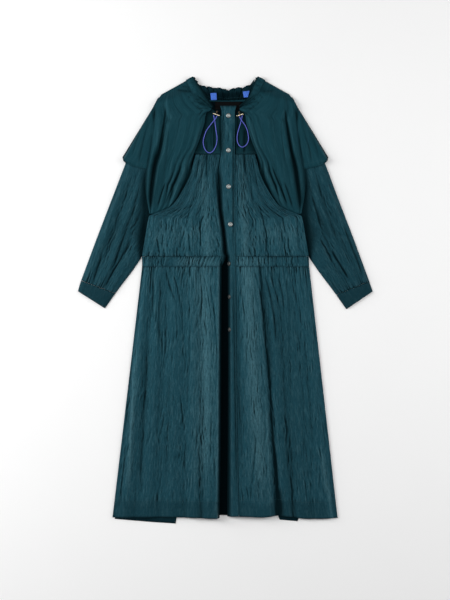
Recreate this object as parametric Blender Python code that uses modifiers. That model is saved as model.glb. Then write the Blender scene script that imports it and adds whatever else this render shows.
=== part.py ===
"""A long overcoat with a shoulder cape, laid flat and buttoned up.

The coat lies on its back on a level surface: +X runs across it, +Y up to the neck, +Z out
of its front. The origin is under the middle of the laid coat. Tables are in millimetres.
Each cloth piece is a sheet spread between its left and right edge, lifted along the folds
that its table lists, then given its thickness downwards.
"""

from collections import namedtuple

import bmesh
import bpy
import numpy as np
from mathutils import Matrix, Vector

MM = 0.001

# Cloth
WALL = 1.5            # thickness of one layer
GAP = 0.4             # air between layers and at seams
LAYER = WALL + GAP    # from the top of one layer to the top of the next
FIRST_TOP = WALL                  # top of a layer that rests on the surface
SECOND_TOP = FIRST_TOP + LAYER    # top of a layer that rests on that one
FLAT_TUBE = 2 * WALL + 0.3        # an empty sleeve pressed flat
SEAM = GAP + 0.2                  # between pieces that are sewn edge to edge
JOIN = 0.00001                    # points closer than this, in metres, are one
TOUCH = 1e-6                      # fractions closer than this are equal

# Main lines of the coat
MIDLINE = -1.0
YOKE_SEAM = 407.5
WAIST_TOP = 121.5
WAIST_BOTTOM = 93.0
FRONT_HEM = -605.5
CAPE_BACK_HEM = 329.5
REST_MARGIN = 67.0    # the body's back keeps its height this far past the cape's back hem
REST_DROP = 112.0     # and lies on the surface this far past it

# Heights and shares
YOKE_TOP = 7.4
BIB_SEAM_TOP = 9.6        # top of the bibs along the yoke's seam
BIB_SEAM_SHARE = 0.09     # part of a bib's length in which it climbs from that seam
BODY_SIDE = -224.5        # an arm is flat from here inwards, where the body lies on it
BODY_SPAN = 20.0          # and full this far outside it
TUCKED_TOP = 7.2          # top of the drape where the bib lies on it
TUCK_MARGIN = 1.5         # distance from the bib's edge at which the drape starts to climb
TUCK_CLIMB = 1.15         # how steeply it climbs from there
RELEASE_DROP = 17.0       # distance below the yoke's seam at which the bib lets go of the drape
RELEASE_SPAN = 15.0       # length over which it lets go
RELEASE_RISE = 30.0       # how much higher the drape may lie above that
SHOULDER_TOP = 4.0        # top of the drapes along the shoulder line
SHOULDER_SHARE = 0.10     # part of a drape's length in which it climbs from there

# Gathers
CASING_LIFT = 0.9         # of the waist casings over the seams
CASING_GATHER = 0.9
CASING_PITCH = 23.0
CASING_PHASES = (0.4, 1.9)
CASING_CALM_SHARE = 0.06  # ungathered part at each end
BACK_GATHERS = 14         # round the back of the neck
BACK_GATHER = 2.0
BACK_CASING_TOP = 6.0
BACK_SCALLOP = 2.2
FRONT_GATHERS = 7         # along each side of the neck's front
FRONT_GATHER = 0.9
FRONT_CASING_TOP = 11.4   # along the neck's edge
FRONT_CASING_RISE = 3.6   # from there to the cape
FRONT_CASING_ARCH = 3.2

# Columns and rows of the grids
BACK_GRID = (4, 14)
YOKE_GRID = (4, 5)
CASING_GRID = (30, 2)
PLACKET_COLUMNS = 5
PLACKET_WALL_SHARE = 2 / PLACKET_COLUMNS
TUBE_UNDERSIDE_COLUMNS = 4
SLEEVE_ROWS = 10
BIB_ROWS = 12
SKIRT_ROWS = 10
DRAPE_ROWS = 25
OVERSLEEVE_ROWS = 8

# Fittings
SNAP_RADIUS = 6.5
SNAP_PROFILE = [(0.0, 2.2), (3.6, 2.2), (5.4, 1.7), (SNAP_RADIUS, 0.8), (SNAP_RADIUS, 0.0), (0.0, 0.0)]
SNAP_SIDES = 12
WALL_SNAP_LIFT = 0.8      # how far above the wall's middle its snaps sit
TAPE_HEIGHTS = (8.8, 10.0)
PATCH_THICKNESS = 1.0
CORD_DIAMETER = 2.2
CORD_STEP = 3.3 * CORD_DIAMETER
CORD_BEVEL = 2
LOCK_BAR_RADIUS = 1.9
LOCK_BAR_LENGTH = 20.5
LOCK_SPRING_RADIUS = 2.9
LOCK_SPRING_LENGTH = 8.0
LOCK_BAR_SIDES = 10
LOCK_SPRING_SIDES = 12

Finish = namedtuple("Finish", "colour roughness metallic")
CRINKLED = Finish((0.020, 0.075, 0.095), 0.45, 0.0)
SMOOTH = Finish((0.012, 0.062, 0.078), 0.50, 0.0)
SHADED = Finish((0.004, 0.016, 0.022), 0.60, 0.0)
BLACK_TAPE = Finish((0.006, 0.006, 0.009), 0.60, 0.0)
BLUE_TAPE = Finish((0.060, 0.160, 0.640), 0.50, 0.0)
BLUE_CORD = Finish((0.090, 0.090, 0.420), 0.55, 0.0)
SNAP_METAL = Finish((0.550, 0.560, 0.540), 0.30, 1.0)
BAR_METAL = Finish((0.720, 0.660, 0.500), 0.28, 1.0)
SPRING_METAL = Finish((0.140, 0.110, 0.070), 0.38, 1.0)

# Edges, left half of the coat as it is seen, top to bottom: (x, y)
NECK_EDGE = [(-89.5, 625.5), (-80.5, 612.0), (-66.0, 589.5), (-54.5, 573.5), (-43.5, 555.0), (-34.5, 543.0)]
NECK_EDGE_RIGHT = [(88.0, 625.5), (81.5, 612.0), (75.5, 594.0), (68.0, 577.0), (55.5, 560.0), (37.5, 543.0)]
CASING_EDGE = [
    (-112.0, 615.0), (-96.0, 585.0), (-79.5, 562.0),
    (-63.5, 549.5), (-49.5, 541.5), (-38.0, 536.5),
]
CASING_EDGE_RIGHT = [
    (110.5, 615.0), (95.5, 585.0), (79.0, 562.0),
    (62.5, 549.5), (48.5, 541.5), (37.5, 536.5),
]
CAPE_FRONT_EDGE = [
    (-110.0, 614.0), (-93.0, 584.0), (-76.5, 560.0), (-60.5, 547.0), (-46.5, 539.5), (-40.0, 534.0),
    (-44.0, 528.0), (-52.0, 524.0), (-56.5, 514.0), (-58.0, 500.0), (-65.5, 472.0),
    (-76.5, 438.5), (-89.0, 407.5), (-95.5, 382.5), (-95.0, 357.5), (-98.5, 332.0),
    (-110.0, 304.0), (-125.0, 279.0), (-142.0, 256.5), (-177.0, 233.0),
]
SHOULDER_SEAM = [
    (-180.0, 575.0), (-195.5, 546.5), (-201.5, 489.0), (-207.0, 437.0), (-212.0, 402.0), (-221.5, 365.5),
    (-224.0, 307.0), (-213.5, 241.0),
]
CAPE_SHOULDER = [SHOULDER_SEAM[0], (-142.0, 596.0), CAPE_FRONT_EDGE[0]]
OVERSLEEVE_FOLD = [
    (-186.5, 567.5), (-207.0, 533.5), (-227.5, 500.0), (-248.0, 466.5), (-268.5, 433.0),
    (-289.0, 399.5),
]
OVERSLEEVE_TUCK = [
    (-191.0, 562.0), (-200.0, 542.0), (-198.0, 489.0), (-201.0, 437.0), (-205.0, 402.0),
    (-213.0, 364.5),
]
OVERSLEEVE_HEM = [
    (-289.0, 399.5), (-285.5, 388.0), (-278.0, 381.5), (-249.5, 370.5), (-213.0, 364.5),
]
YOKE_OUTER = [(-126.5, 577.0), (-146.5, 517.0), (-142.0, 461.0), (-126.5, 408.0)]
YOKE_NECK = [
    (-49.5, 554.5), (-38.5, 535.0), (-26.0, 523.5), (-14.0, 516.0), (-13.5, 463.5),
    (-13.5, 408.0),
]
YOKE_NECK_RIGHT = [
    (51.0, 554.5), (41.5, 535.0), (33.0, 523.5), (27.5, 511.5), (27.5, 463.5),
    (27.5, 408.0),
]
BIB_ARMHOLE = [
    (-83.5, 407.0), (-90.5, 382.5), (-97.0, 354.5), (-107.5, 330.0), (-122.0, 303.5),
    (-136.0, 281.5), (-152.0, 262.0), (-178.0, 249.0), (-203.5, 239.0), (-213.5, 234.5),
    (-216.5, 224.0), (-224.5, 178.0), (-234.0, 122.0),
]
BODY_BACK_SIDE = [
    (-160.5, 555.5), (-198.0, 522.5), (-191.0, 447.0), (-184.0, 363.0), (-177.5, 290.0), (-180.5, 242.5),
    (-191.0, 192.0), (-210.0, 150.0), (-228.0, 118.0), (-230.5, 108.5),
]
SKIRT_SIDE = [(-233.5, 92.5), (-275.0, -256.0), (-317.0, -608.5)]
SKIRT_SIDE_RIGHT = [(233.0, 92.5), (273.0, -256.0), (313.0, -610.0)]
SKIRT_FRONT_FOLD = [(-11.5, 92.5), (-12.5, -85.0), (-14.0, -365.0), (-17.5, -610.5)]
SLEEVE_OUTER = [
    (-205.0, 522.5), (-237.0, 472.0), (-265.0, 421.5), (-284.5, 371.5), (-318.0, 284.5),
    (-357.0, 183.5), (-405.0, 54.5),
]
SLEEVE_OUTER_RIGHT = [
    (203.0, 522.5), (235.0, 472.0), (263.0, 421.5), (282.0, 371.5), (314.5, 284.5),
    (353.5, 183.5), (402.0, 52.0),
]
SLEEVE_INNER = [
    (-184.0, 290.0), (-187.0, 245.5), (-198.0, 195.0), (-217.5, 153.0), (-235.0, 121.0),
    (-308.5, 18.5),
]
SLEEVE_INNER_RIGHT = [
    (182.0, 290.0), (185.0, 245.5), (196.0, 195.0), (215.5, 153.0), (233.0, 121.0),
    (309.0, 14.5),
]
CUFF_OUTER = [(-405.5, 54.0), (-414.0, 24.5)]
CUFF_OUTER_RIGHT = [(402.0, 51.5), (411.5, 24.0)]
CUFF_INNER = [(-309.0, 18.0), (-338.5, -23.5)]
CUFF_INNER_RIGHT = [(309.5, 14.0), (337.5, -26.0)]

# Placket, top to bottom: where its left edge, its rim and its right edge run, and how high
PlacketSection = namedtuple("PlacketSection", "y left rim right foot_top rim_top right_top")
Y_COLUMN, LEFT, RIM, RIGHT, FOOT_TOP, RIM_TOP, RIGHT_TOP = range(len(PlacketSection._fields))
PLACKET_SECTIONS = [
    PlacketSection(543.0, -16.0, -10.0, 30.0, 9.4, 9.8, 9.8),
    PlacketSection(528.0, -11.5, -7.5, 25.5, 9.6, 10.2, 10.2),
    PlacketSection(419.0, -11.5, -6.5, 25.0, 10.0, 12.0, 12.0),
    PlacketSection(360.0, -21.5, -7.5, 25.0, 7.6, 13.4, 13.4),
    PlacketSection(253.5, -14.5, -5.5, 25.5, 6.4, 14.6, 14.6),
    PlacketSection(192.0, -4.0, 1.5, 26.0, 5.8, 16.0, 15.0),
    PlacketSection(133.5, 0.5, 9.0, 27.0, 5.6, 18.0, 16.0),
    PlacketSection(119.5, 5.0, 13.5, 27.5, 5.6, 19.0, 16.6),
    PlacketSection(83.0, 5.5, 14.0, 28.0, 5.6, 19.5, 17.0),
    PlacketSection(-113.0, 6.5, 15.0, 29.0, 5.6, 20.5, 18.0),
    PlacketSection(-393.0, 5.5, 16.0, 32.5, 5.6, 20.5, 18.5),
    PlacketSection(-605.0, 4.0, 17.0, 36.5, 5.6, 19.0, 17.5),
]

# Folds of a sheet, from its left edge to its right: a row for each fold says what fraction
# of the way across it lies at each station down the sheet, and how high its top is there
Fold = namedtuple("Fold", "across rise")
ENDS_AND_MIDDLE = (0.0, 0.5, 1.0)
CAPE_STATIONS = (0.0, 0.5, 0.75, 1.0)
CAPE_FOLDS = [
    Fold((0.00, 0.00, 0.00, 0.00), (10.0, 12.5, 10.0, 8.6)),
    Fold((0.12, 0.10, 0.09, 0.05), (11.0, 16.5, 14.5, 9.3)),
    Fold((0.24, 0.20, 0.16, 0.10), (12.0, 8.8, 7.9, 7.8)),
    Fold((0.34, 0.29, 0.25, 0.22), (14.0, 19.5, 16.0, 9.3)),
    Fold((0.50, 0.52, 0.40, 0.40), (14.0, 16.0, 11.0, 8.5)),
    Fold((0.60, 0.66, 0.47, 0.52), (15.0, 17.5, 13.0, 9.3)),
    Fold((0.68, 0.74, 0.52, 0.62), (14.0, 16.5, 9.0, 7.9)),
    Fold((0.76, 0.81, 0.575, 0.72), (15.0, 17.0, 13.5, 9.3)),
    Fold((0.83, 0.86, 0.63, 0.80), (14.5, 15.5, 8.5, 7.7)),
    Fold((0.91, 0.93, 0.75, 0.88), (14.0, 16.0, 15.0, 9.0)),
    Fold((0.97, 0.975, 0.87, 0.95), (12.5, 12.0, 7.4, 7.0)),
    Fold((1.00, 1.00, 1.00, 1.00), (11.6, 10.6, 6.6, 6.6)),
]
CAPE_FOLDS_RIGHT = [
    Fold((0.00, 0.00, 0.00, 0.00), (10.0, 12.5, 10.0, 8.6)),
    Fold((0.10, 0.11, 0.10, 0.05), (11.0, 17.5, 15.0, 9.3)),
    Fold((0.20, 0.19, 0.17, 0.10), (12.0, 8.8, 7.9, 7.8)),
    Fold((0.30, 0.27, 0.25, 0.22), (14.0, 18.0, 15.0, 9.3)),
    Fold((0.42, 0.40, 0.36, 0.38), (12.5, 14.0, 11.5, 8.5)),
    Fold((0.56, 0.58, 0.48, 0.52), (15.0, 17.5, 14.0, 9.3)),
    Fold((0.68, 0.72, 0.56, 0.62), (14.5, 16.0, 10.5, 7.9)),
    Fold((0.76, 0.81, 0.63, 0.72), (15.0, 17.0, 14.0, 9.3)),
    Fold((0.84, 0.87, 0.69, 0.80), (14.0, 15.0, 9.0, 7.7)),
    Fold((0.91, 0.93, 0.79, 0.88), (14.0, 16.5, 15.0, 9.0)),
    Fold((0.97, 0.975, 0.88, 0.95), (12.5, 12.0, 7.4, 7.0)),
    Fold((1.00, 1.00, 1.00, 1.00), (11.6, 10.6, 6.6, 6.6)),
]
OVERSLEEVE_FOLDS = [
    Fold((0.00, 0.00, 0.00), (3.8, 3.8, 3.9)),
    Fold((0.22, 0.16, 0.13), (5.0, 9.5, 12.0)),
    Fold((0.45, 0.42, 0.36), (5.4, 12.0, 14.0)),
    Fold((0.66, 0.64, 0.62), (5.5, 11.0, 12.4)),
    Fold((0.84, 0.84, 0.80), (4.6, 9.8, 10.4)),
    Fold((1.00, 1.00, 1.00), (4.0, 8.6, 7.9)),
]
BIB_FOLDS = [
    Fold((0.00, 0.00, 0.00), (11.5, 12.0, 9.4)),
    Fold((0.08, 0.07, 0.08), (13.0, 12.6, 12.0)),
    Fold((0.20, 0.20, 0.21), (11.0, 10.6, 9.8)),
    Fold((0.32, 0.32, 0.33), (13.5, 14.0, 13.0)),
    Fold((0.43, 0.43, 0.44), (9.2, 11.6, 10.6)),
    Fold((0.54, 0.56, 0.57), (13.5, 15.5, 15.0)),
    Fold((0.66, 0.66, 0.67), (11.5, 12.8, 12.2)),
    Fold((0.78, 0.79, 0.81), (13.5, 16.5, 17.0)),
    Fold((0.90, 0.94, 0.955), (12.5, 15.0, 17.5)),
    Fold((1.00, 1.00, 1.00), (9.6, 6.8, 5.8)),
]
BIB_FOLDS_RIGHT = [
    Fold((0.00, 0.00, 0.00), (10.6, 13.0, 14.6)),
    Fold((0.15, 0.13, 0.13), (13.0, 15.5, 17.5)),
    Fold((0.29, 0.26, 0.25), (11.0, 12.6, 12.8)),
    Fold((0.39, 0.36, 0.36), (13.0, 15.0, 16.0)),
    Fold((0.46, 0.46, 0.45), (9.2, 11.4, 11.0)),
    Fold((0.60, 0.60, 0.58), (13.2, 14.4, 14.0)),
    Fold((0.74, 0.72, 0.70), (11.0, 10.8, 10.2)),
    Fold((0.87, 0.86, 0.84), (12.8, 13.2, 12.8)),
    Fold((0.95, 0.93, 0.93), (11.5, 11.0, 10.4)),
    Fold((1.00, 1.00, 1.00), (11.5, 12.0, 9.4)),
]
SKIRT_FOLDS = [
    Fold((0.000, 0.000, 0.000), (4.0, 4.0, 4.0)),
    Fold((0.065, 0.090, 0.105), (9.0, 11.5, 11.0)),
    Fold((0.140, 0.180, 0.210), (6.0, 6.5, 6.5)),
    Fold((0.230, 0.280, 0.330), (9.5, 10.5, 10.0)),
    Fold((0.320, 0.370, 0.425), (6.2, 6.4, 6.2)),
    Fold((0.430, 0.490, 0.550), (9.5, 11.0, 11.5)),
    Fold((0.545, 0.600, 0.660), (7.0, 7.8, 8.0)),
    Fold((0.650, 0.710, 0.765), (11.5, 13.5, 14.5)),
    Fold((0.740, 0.780, 0.820), (10.0, 11.5, 12.0)),
    Fold((0.860, 0.880, 0.910), (16.5, 20.0, 22.0)),
    Fold((0.955, 0.965, 0.972), (18.0, 22.0, 22.5)),
    Fold((1.000, 1.000, 1.000), (5.8, 5.6, 5.6)),
]
SKIRT_FOLDS_RIGHT = [
    Fold((0.000, 0.000, 0.000), (15.0, 16.5, 16.0)),
    Fold((0.155, 0.165, 0.150), (19.0, 23.0, 23.5)),
    Fold((0.280, 0.330, 0.310), (16.0, 19.5, 20.5)),
    Fold((0.325, 0.385, 0.395), (11.0, 10.4, 6.4)),
    Fold((0.370, 0.430, 0.460), (13.0, 14.0, 15.0)),
    Fold((0.450, 0.470, 0.500), (13.6, 13.8, 14.0)),
    Fold((0.560, 0.555, 0.555), (9.0, 8.6, 8.4)),
    Fold((0.670, 0.660, 0.650), (12.0, 13.5, 14.0)),
    Fold((0.780, 0.765, 0.755), (8.0, 8.4, 8.6)),
    Fold((0.890, 0.880, 0.870), (10.0, 11.5, 11.5)),
    Fold((1.000, 1.000, 1.000), (4.0, 4.0, 4.0)),
]
YOKE_FOLDS = [
    Fold((0.0, 0.0, 0.0), (YOKE_TOP, YOKE_TOP, YOKE_TOP)),
    Fold((0.5, 0.5, 0.5), (YOKE_TOP, YOKE_TOP, YOKE_TOP)),
    Fold((1.0, 1.0, 1.0), (YOKE_TOP, YOKE_TOP, YOKE_TOP)),
]
SLEEVE_FOLDS = [
    Fold((0.00, 0.00, 0.00), (3.5, 3.5, 3.5)),
    Fold((0.14, 0.13, 0.15), (7.0, 10.5, 8.5)),
    Fold((0.28, 0.30, 0.34), (6.4, 8.0, 6.4)),
    Fold((0.42, 0.48, 0.52), (7.4, 11.5, 9.5)),
    Fold((0.58, 0.64, 0.68), (6.4, 8.0, 6.4)),
    Fold((0.74, 0.80, 0.84), (7.0, 10.5, 8.8)),
    Fold((0.88, 0.92, 0.95), (5.0, 6.5, 6.0)),
    Fold((1.00, 1.00, 1.00), (3.5, 3.5, 3.5)),
]
SLEEVE_FOLDS_RIGHT = [
    Fold((0.00, 0.00, 0.00), (3.5, 3.5, 3.5)),
    Fold((0.12, 0.12, 0.11), (7.0, 10.0, 8.5)),
    Fold((0.22, 0.22, 0.22), (6.4, 7.0, 5.0)),
    Fold((0.36, 0.38, 0.40), (7.4, 11.5, 9.5)),
    Fold((0.50, 0.54, 0.60), (6.4, 7.4, 5.2)),
    Fold((0.68, 0.72, 0.78), (7.4, 11.0, 9.2)),
    Fold((0.88, 0.92, 0.94), (5.0, 6.5, 6.0)),
    Fold((1.00, 1.00, 1.00), (3.5, 3.5, 3.5)),
]
CUFF_FOLDS = [
    Fold((0.00, 0.00, 0.00), (3.5, 3.5, 3.5)),
    Fold((0.12, 0.12, 0.12), (6.0, 6.4, 6.0)),
    Fold((0.50, 0.50, 0.50), (6.6, 7.0, 6.4)),
    Fold((0.88, 0.88, 0.88), (6.0, 6.4, 6.0)),
    Fold((1.00, 1.00, 1.00), (3.5, 3.5, 3.5)),
]

# Hems: how far down they reach from side to side, (x, y)
FRONT_HEM_LEFT = [(-317.0, -608.5), (-238.5, -608.0), (-140.5, -607.5), (-70.5, -609.5), (-17.5, -610.5)]
FRONT_HEM_RIGHT = [
    (69.5, -605.0), (103.0, -606.5), (147.0, -603.0), (181.5, -606.5), (226.0, -611.5),
    (313.0, -610.0),
]
BACK_OUTLINE = [
    (-230.5, 107.0), (-313.0, -594.5), (-310.5, -613.0), (-210.5, -621.5), (-138.5, -626.0),
    (-138.5, -601.5), (147.5, -603.0), (147.5, -615.0), (203.0, -619.5), (203.0, -608.5),
    (309.0, -606.5), (306.5, -583.5), (228.5, 107.0),
]
CAPE_BACK_OUTLINE = [
    (-89.5, 623.5), (-110.0, 612.5), (-180.0, 573.0), (-189.5, 559.0), (-287.0, 398.5),
    (-278.0, 380.0), (-224.5, 360.0), (-140.5, 340.5), (-0.5, 332.0), (139.5, 340.5),
    (222.5, 360.0), (276.0, 380.0), (285.0, 398.5), (187.5, 559.0), (178.0, 573.0),
    (108.0, 612.5), (87.5, 623.5), (66.5, 596.5), (41.5, 584.0), (-0.5, 579.5),
    (-42.5, 584.0), (-68.5, 596.5),
]

# Flat pieces, all round
PLACKET_UNDER_OUTLINE = [(-21.0, 125.0), (9.5, 125.0), (9.5, -602.0), (-22.5, -602.0)]
PATCH_OUTLINE = [(-30.0, 555.0), (44.0, 555.0), (44.0, 532.5), (-30.0, 532.5)]
TAPE_OUTLINE = [(-43.0, 578.0), (-26.0, 578.5), (-25.0, 559.0), (-41.0, 558.5)]
TAPE_OUTLINE_RIGHT = [(47.5, 582.5), (66.5, 584.5), (65.0, 574.5), (58.0, 564.5), (51.0, 566.0)]

# Gathered neck casing at the back: its scalloped top edge and its seam
BACK_CASING_EDGE = [
    (-83.0, 616.0), (-74.0, 602.5), (-66.0, 599.0), (-47.0, 596.0), (-29.5, 593.0), (-7.0, 591.0),
    (6.5, 586.5), (24.5, 592.5), (48.5, 594.5), (67.5, 602.5), (81.0, 617.0),
]
BACK_CASING_SEAM = [(-65.0, 563.0), (-34.5, 559.0), (-0.5, 558.0), (33.0, 559.0), (63.5, 563.0)]

# Drawcord loops: (x, y, height of the cord's middle)
LEFT_CORD = [
    (-24.2, 514.8, 9.4), (-26.2, 510.7, 9.6), (-29.8, 504.8, 12.6), (-36.5, 496.7, 11.2),
    (-46.3, 484.4, 9.4), (-54.7, 472.1, 9.3), (-59.2, 459.8, 9.3), (-62.6, 447.4, 9.3), (-62.6, 435.1, 9.3),
    (-58.9, 422.8, 9.3),
    (-52.8, 414.4, 9.3), (-44.9, 410.8, 9.3), (-37.1, 415.0, 9.3), (-29.8, 425.6, 9.3), (-25.3, 439.6, 9.3),
    (-24.5, 454.7, 9.3), (-26.7, 469.8, 9.3), (-28.7, 483.8, 9.3), (-30.4, 497.6, 9.1), (-32.6, 509.6, 9.2),
    (-34.3, 517.0, 9.4),
]
RIGHT_CORD = [
    (37.4, 513.4, 9.4), (39.6, 509.6, 9.6), (43.0, 503.2, 12.6), (48.6, 495.6, 11.2),
    (55.0, 486.1, 9.4), (60.1, 474.3, 9.3), (62.6, 462.0, 9.3), (63.7, 450.8, 9.3), (61.5, 440.2, 9.3),
    (55.0, 431.2, 9.3),
    (45.8, 427.3, 9.3), (37.7, 431.8, 9.3), (32.9, 441.8, 9.3), (31.8, 454.7, 9.3), (33.7, 468.2, 9.3),
    (37.7, 482.2, 9.3), (42.1, 496.2, 9.1), (44.9, 507.9, 9.2), (46.3, 515.9, 9.4),
]
LOCK_LEFT = ((-36.5, 521.5), (-17.0, 515.0))
LOCK_RIGHT = ((30.0, 513.5), (49.5, 520.0))

# Snaps down the placket: (x, y); the lower three sit on the wall of the front fold
FLAT_SNAPS = [(7.5, 515.0), (7.5, 418.0), (8.0, 316.5), (13.0, 211.0)]
WALL_SNAPS = [101.0, 8.5, -83.0]


def trace(points, along):
    """Points at the given fractions of the way along a smooth line through the points."""
    points = np.asarray(points, float)
    steps = np.linalg.norm(np.diff(points, axis=0), axis=1)
    knots = np.concatenate(([0.0], np.cumsum(steps))) / steps.sum()
    slopes = np.gradient(points, knots, axis=0)
    along = np.clip(np.asarray(along, float), 0.0, 1.0)
    index = np.clip(np.searchsorted(knots, along, side="right") - 1, 0, len(knots) - 2)
    width = knots[index + 1] - knots[index]
    t = ((along - knots[index]) / width)[..., None]
    width = width[..., None]
    return (
        (2 * t**3 - 3 * t**2 + 1) * points[index]
        + (t**3 - 2 * t**2 + t) * width * slopes[index]
        + (3 * t**2 - 2 * t**3) * points[index + 1]
        + (t**3 - t**2) * width * slopes[index + 1]
    )


def mirrored(points):
    """The same edge on the other half of the coat."""
    return [(2 * MIDLINE - point[0], *point[1:]) for point in points]


def ease(value):
    """A smooth step from 0 to 1."""
    value = np.clip(value, 0.0, 1.0)
    return value * value * (3 - 2 * value)


def rest_level(y):
    """How high the body's back lies: on the cape's back above its hem, on the surface below."""
    return LAYER * ease((y - (CAPE_BACK_HEM - REST_DROP)) / (REST_DROP - REST_MARGIN))


def fold_surface(folds, stations, across, down):
    """Fraction across and height of a folded sheet, eased from each fold to the next."""
    places = np.array([np.interp(down, stations, fold.across) for fold in folds])
    rises = np.array([np.interp(down, stations, fold.rise) for fold in folds])
    position = np.clip(across, 0.0, 1.0) * (len(folds) - 1)
    index = np.clip(position.astype(int), 0, len(folds) - 2)
    part = position - index
    column = np.arange(len(across))
    place = places[index, column] * (1 - part) + places[index + 1, column] * part
    blend = ease(part)
    rise = rises[index, column] * (1 - blend) + rises[index + 1, column] * blend
    return place, rise


class Sheet:
    """A folded sheet between a left and a right edge, with its own top and bottom edge."""

    def __init__(self, left, right, folds, stations=ENDS_AND_MIDDLE, top=None, bottom=None):
        self.left, self.right = left, right
        self.folds, self.stations = folds, stations
        self.top, self.bottom = top, bottom

    def flat(self, place, down):
        """Place on the flat, from the four edges."""
        place = place[..., None]
        left, right = trace(self.left, down), trace(self.right, down)
        point = left * (1 - place) + right * place
        for edge, weight in ((self.top, 1 - down), (self.bottom, down)):
            if edge is not None:
                line = trace(edge, place[..., 0])
                first, last = np.asarray(edge[0], float), np.asarray(edge[-1], float)
                bow = line - (first * (1 - place) + last * place)
                point = point + bow * weight[..., None]
        return point

    def __call__(self, across, down):
        place, rise = fold_surface(self.folds, self.stations, across, down)
        point = self.flat(place, down)
        return point[:, 0], point[:, 1], rise


def finish_material(name, finish):
    """A plain material of the finish's colour, roughness and metallic value."""
    material = bpy.data.materials.new(name)
    material.use_nodes = True
    shader = material.node_tree.nodes["Principled BSDF"]
    shader.inputs["Base Color"].default_value = (*finish.colour, 1.0)
    shader.inputs["Roughness"].default_value = finish.roughness
    shader.inputs["Metallic"].default_value = finish.metallic
    material.diffuse_color = (*finish.colour, 1.0)
    return material


def add_object(name, data, finish):
    """Put a mesh or curve into the coat's collection with its own material."""
    obj = bpy.data.objects.new(name, data)
    data.materials.append(finish_material(name, finish))
    coat.objects.link(obj)
    return obj


def grid_mesh(name, columns, rows, surface, closed=False):
    """A grid whose points are moved onto the surface; a closed one is joined round."""
    mesh_edit = bmesh.new()
    bmesh.ops.create_grid(mesh_edit, x_segments=columns, y_segments=rows, size=0.5)
    places = np.array([vertex.co[:] for vertex in mesh_edit.verts])
    spread = np.clip((places + 0.5)[:, :2], 0.0, 1.0)
    x, y, z = surface(spread[:, 0], 1.0 - spread[:, 1])
    for vertex, place in zip(mesh_edit.verts, np.column_stack((x, y, z)) * MM):
        vertex.co = place
    if closed:
        bmesh.ops.remove_doubles(mesh_edit, verts=mesh_edit.verts, dist=JOIN)
    mesh = bpy.data.meshes.new(name)
    mesh_edit.to_mesh(mesh)
    mesh_edit.free()
    mesh.shade_smooth()
    return mesh


def cloth(name, columns, rows, surface, finish, closed=False, wall=WALL):
    """A piece of cloth: a grid on the surface, thickened on its underside or inside."""
    obj = add_object(name, grid_mesh(name, columns, rows, surface, closed), finish)
    thicken = obj.modifiers.new("Wall", "SOLIDIFY")
    thicken.thickness = wall * MM
    thicken.offset = -1.0
    return obj


def flat_piece(name, outline, bottom, top, finish):
    """A flat piece cut to an outline, between two heights."""
    curve = bpy.data.curves.new(name, "CURVE")
    curve.dimensions = "2D"
    curve.fill_mode = "BOTH"
    curve.extrude = (top - bottom) / 2 * MM
    spline = curve.splines.new("POLY")
    spline.points.add(len(outline) - 1)
    for point, place in zip(spline.points, outline):
        point.co = (place[0] * MM, place[1] * MM, 0.0, 1.0)
    spline.use_cyclic_u = True
    obj = add_object(name, curve, finish)
    obj.location = (0.0, 0.0, (top + bottom) / 2 * MM)
    return obj


def tube_surface(outer, inner, folds, flatten, upper_share, mirror=False):
    """A sleeve's skin pressed flat: its upper side follows the folds, its underside rests."""

    def surface(across, down):
        top_side = across <= upper_share + TOUCH
        around = np.where(top_side, across / upper_share, (1 - across) / (1 - upper_share))
        from_outer = 1 - around if mirror else around
        place, rise = fold_surface(folds, ENDS_AND_MIDDLE, from_outer, down)
        place = 1 - place if mirror else place
        first, last = (inner, outer) if mirror else (outer, inner)
        left, right = trace(first, down), trace(last, down)
        point = left * (1 - place[:, None]) + right * place[:, None]
        free = flatten(point[:, 0])
        rise = FLAT_TUBE + (rise - FLAT_TUBE) * free
        edge = (around < TOUCH) | (around > 1 - TOUCH)
        height = np.where(top_side, rise, 0.0)
        height = np.where(edge, FLAT_TUBE / 2, height)
        return point[:, 0], point[:, 1], height + rest_level(point[:, 1])

    return surface


def make_backs():
    """The layers that lie face down: the cape's back, the body's back and the skirt's back."""
    flat_piece("cape_back", CAPE_BACK_OUTLINE, 0.0, FIRST_TOP, SMOOTH)
    flat_piece("skirt_back", BACK_OUTLINE, 0.0, FIRST_TOP, SHADED)
    right = mirrored(BODY_BACK_SIDE)

    def body_back(across, down):
        line_left, line_right = trace(BODY_BACK_SIDE, down), trace(right, down)
        point = line_left * (1 - across[:, None]) + line_right * across[:, None]
        return point[:, 0], point[:, 1], FIRST_TOP + rest_level(point[:, 1])

    cloth("bodice_back", *BACK_GRID, body_back, SHADED)


def make_tube(name, outer, inner, folds, rows, flatten, mirror):
    """A sleeve or a cuff, joined round along its inner edge."""
    upper = 2 * (len(folds) - 1)
    columns = upper + TUBE_UNDERSIDE_COLUMNS
    skin = tube_surface(outer, inner, folds, flatten, upper / columns, mirror)
    cloth(name, columns, rows, skin, CRINKLED, closed=True)


def make_sleeves():
    """Both long sleeves, pressed flat, each with its cuff."""

    def clear_of_body(x):
        return ease((BODY_SIDE - MIDLINE + np.abs(x - MIDLINE)) / BODY_SPAN)

    right = (SLEEVE_OUTER_RIGHT, SLEEVE_INNER_RIGHT, SLEEVE_FOLDS_RIGHT)
    make_tube("sleeve_left", SLEEVE_OUTER, SLEEVE_INNER, SLEEVE_FOLDS, SLEEVE_ROWS, clear_of_body, False)
    make_tube("sleeve_right", *right, SLEEVE_ROWS, clear_of_body, True)
    make_tube("cuff_left", CUFF_OUTER, CUFF_INNER, CUFF_FOLDS, 1, np.ones_like, False)
    make_tube("cuff_right", CUFF_OUTER_RIGHT, CUFF_INNER_RIGHT, CUFF_FOLDS, 1, np.ones_like, True)


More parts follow.
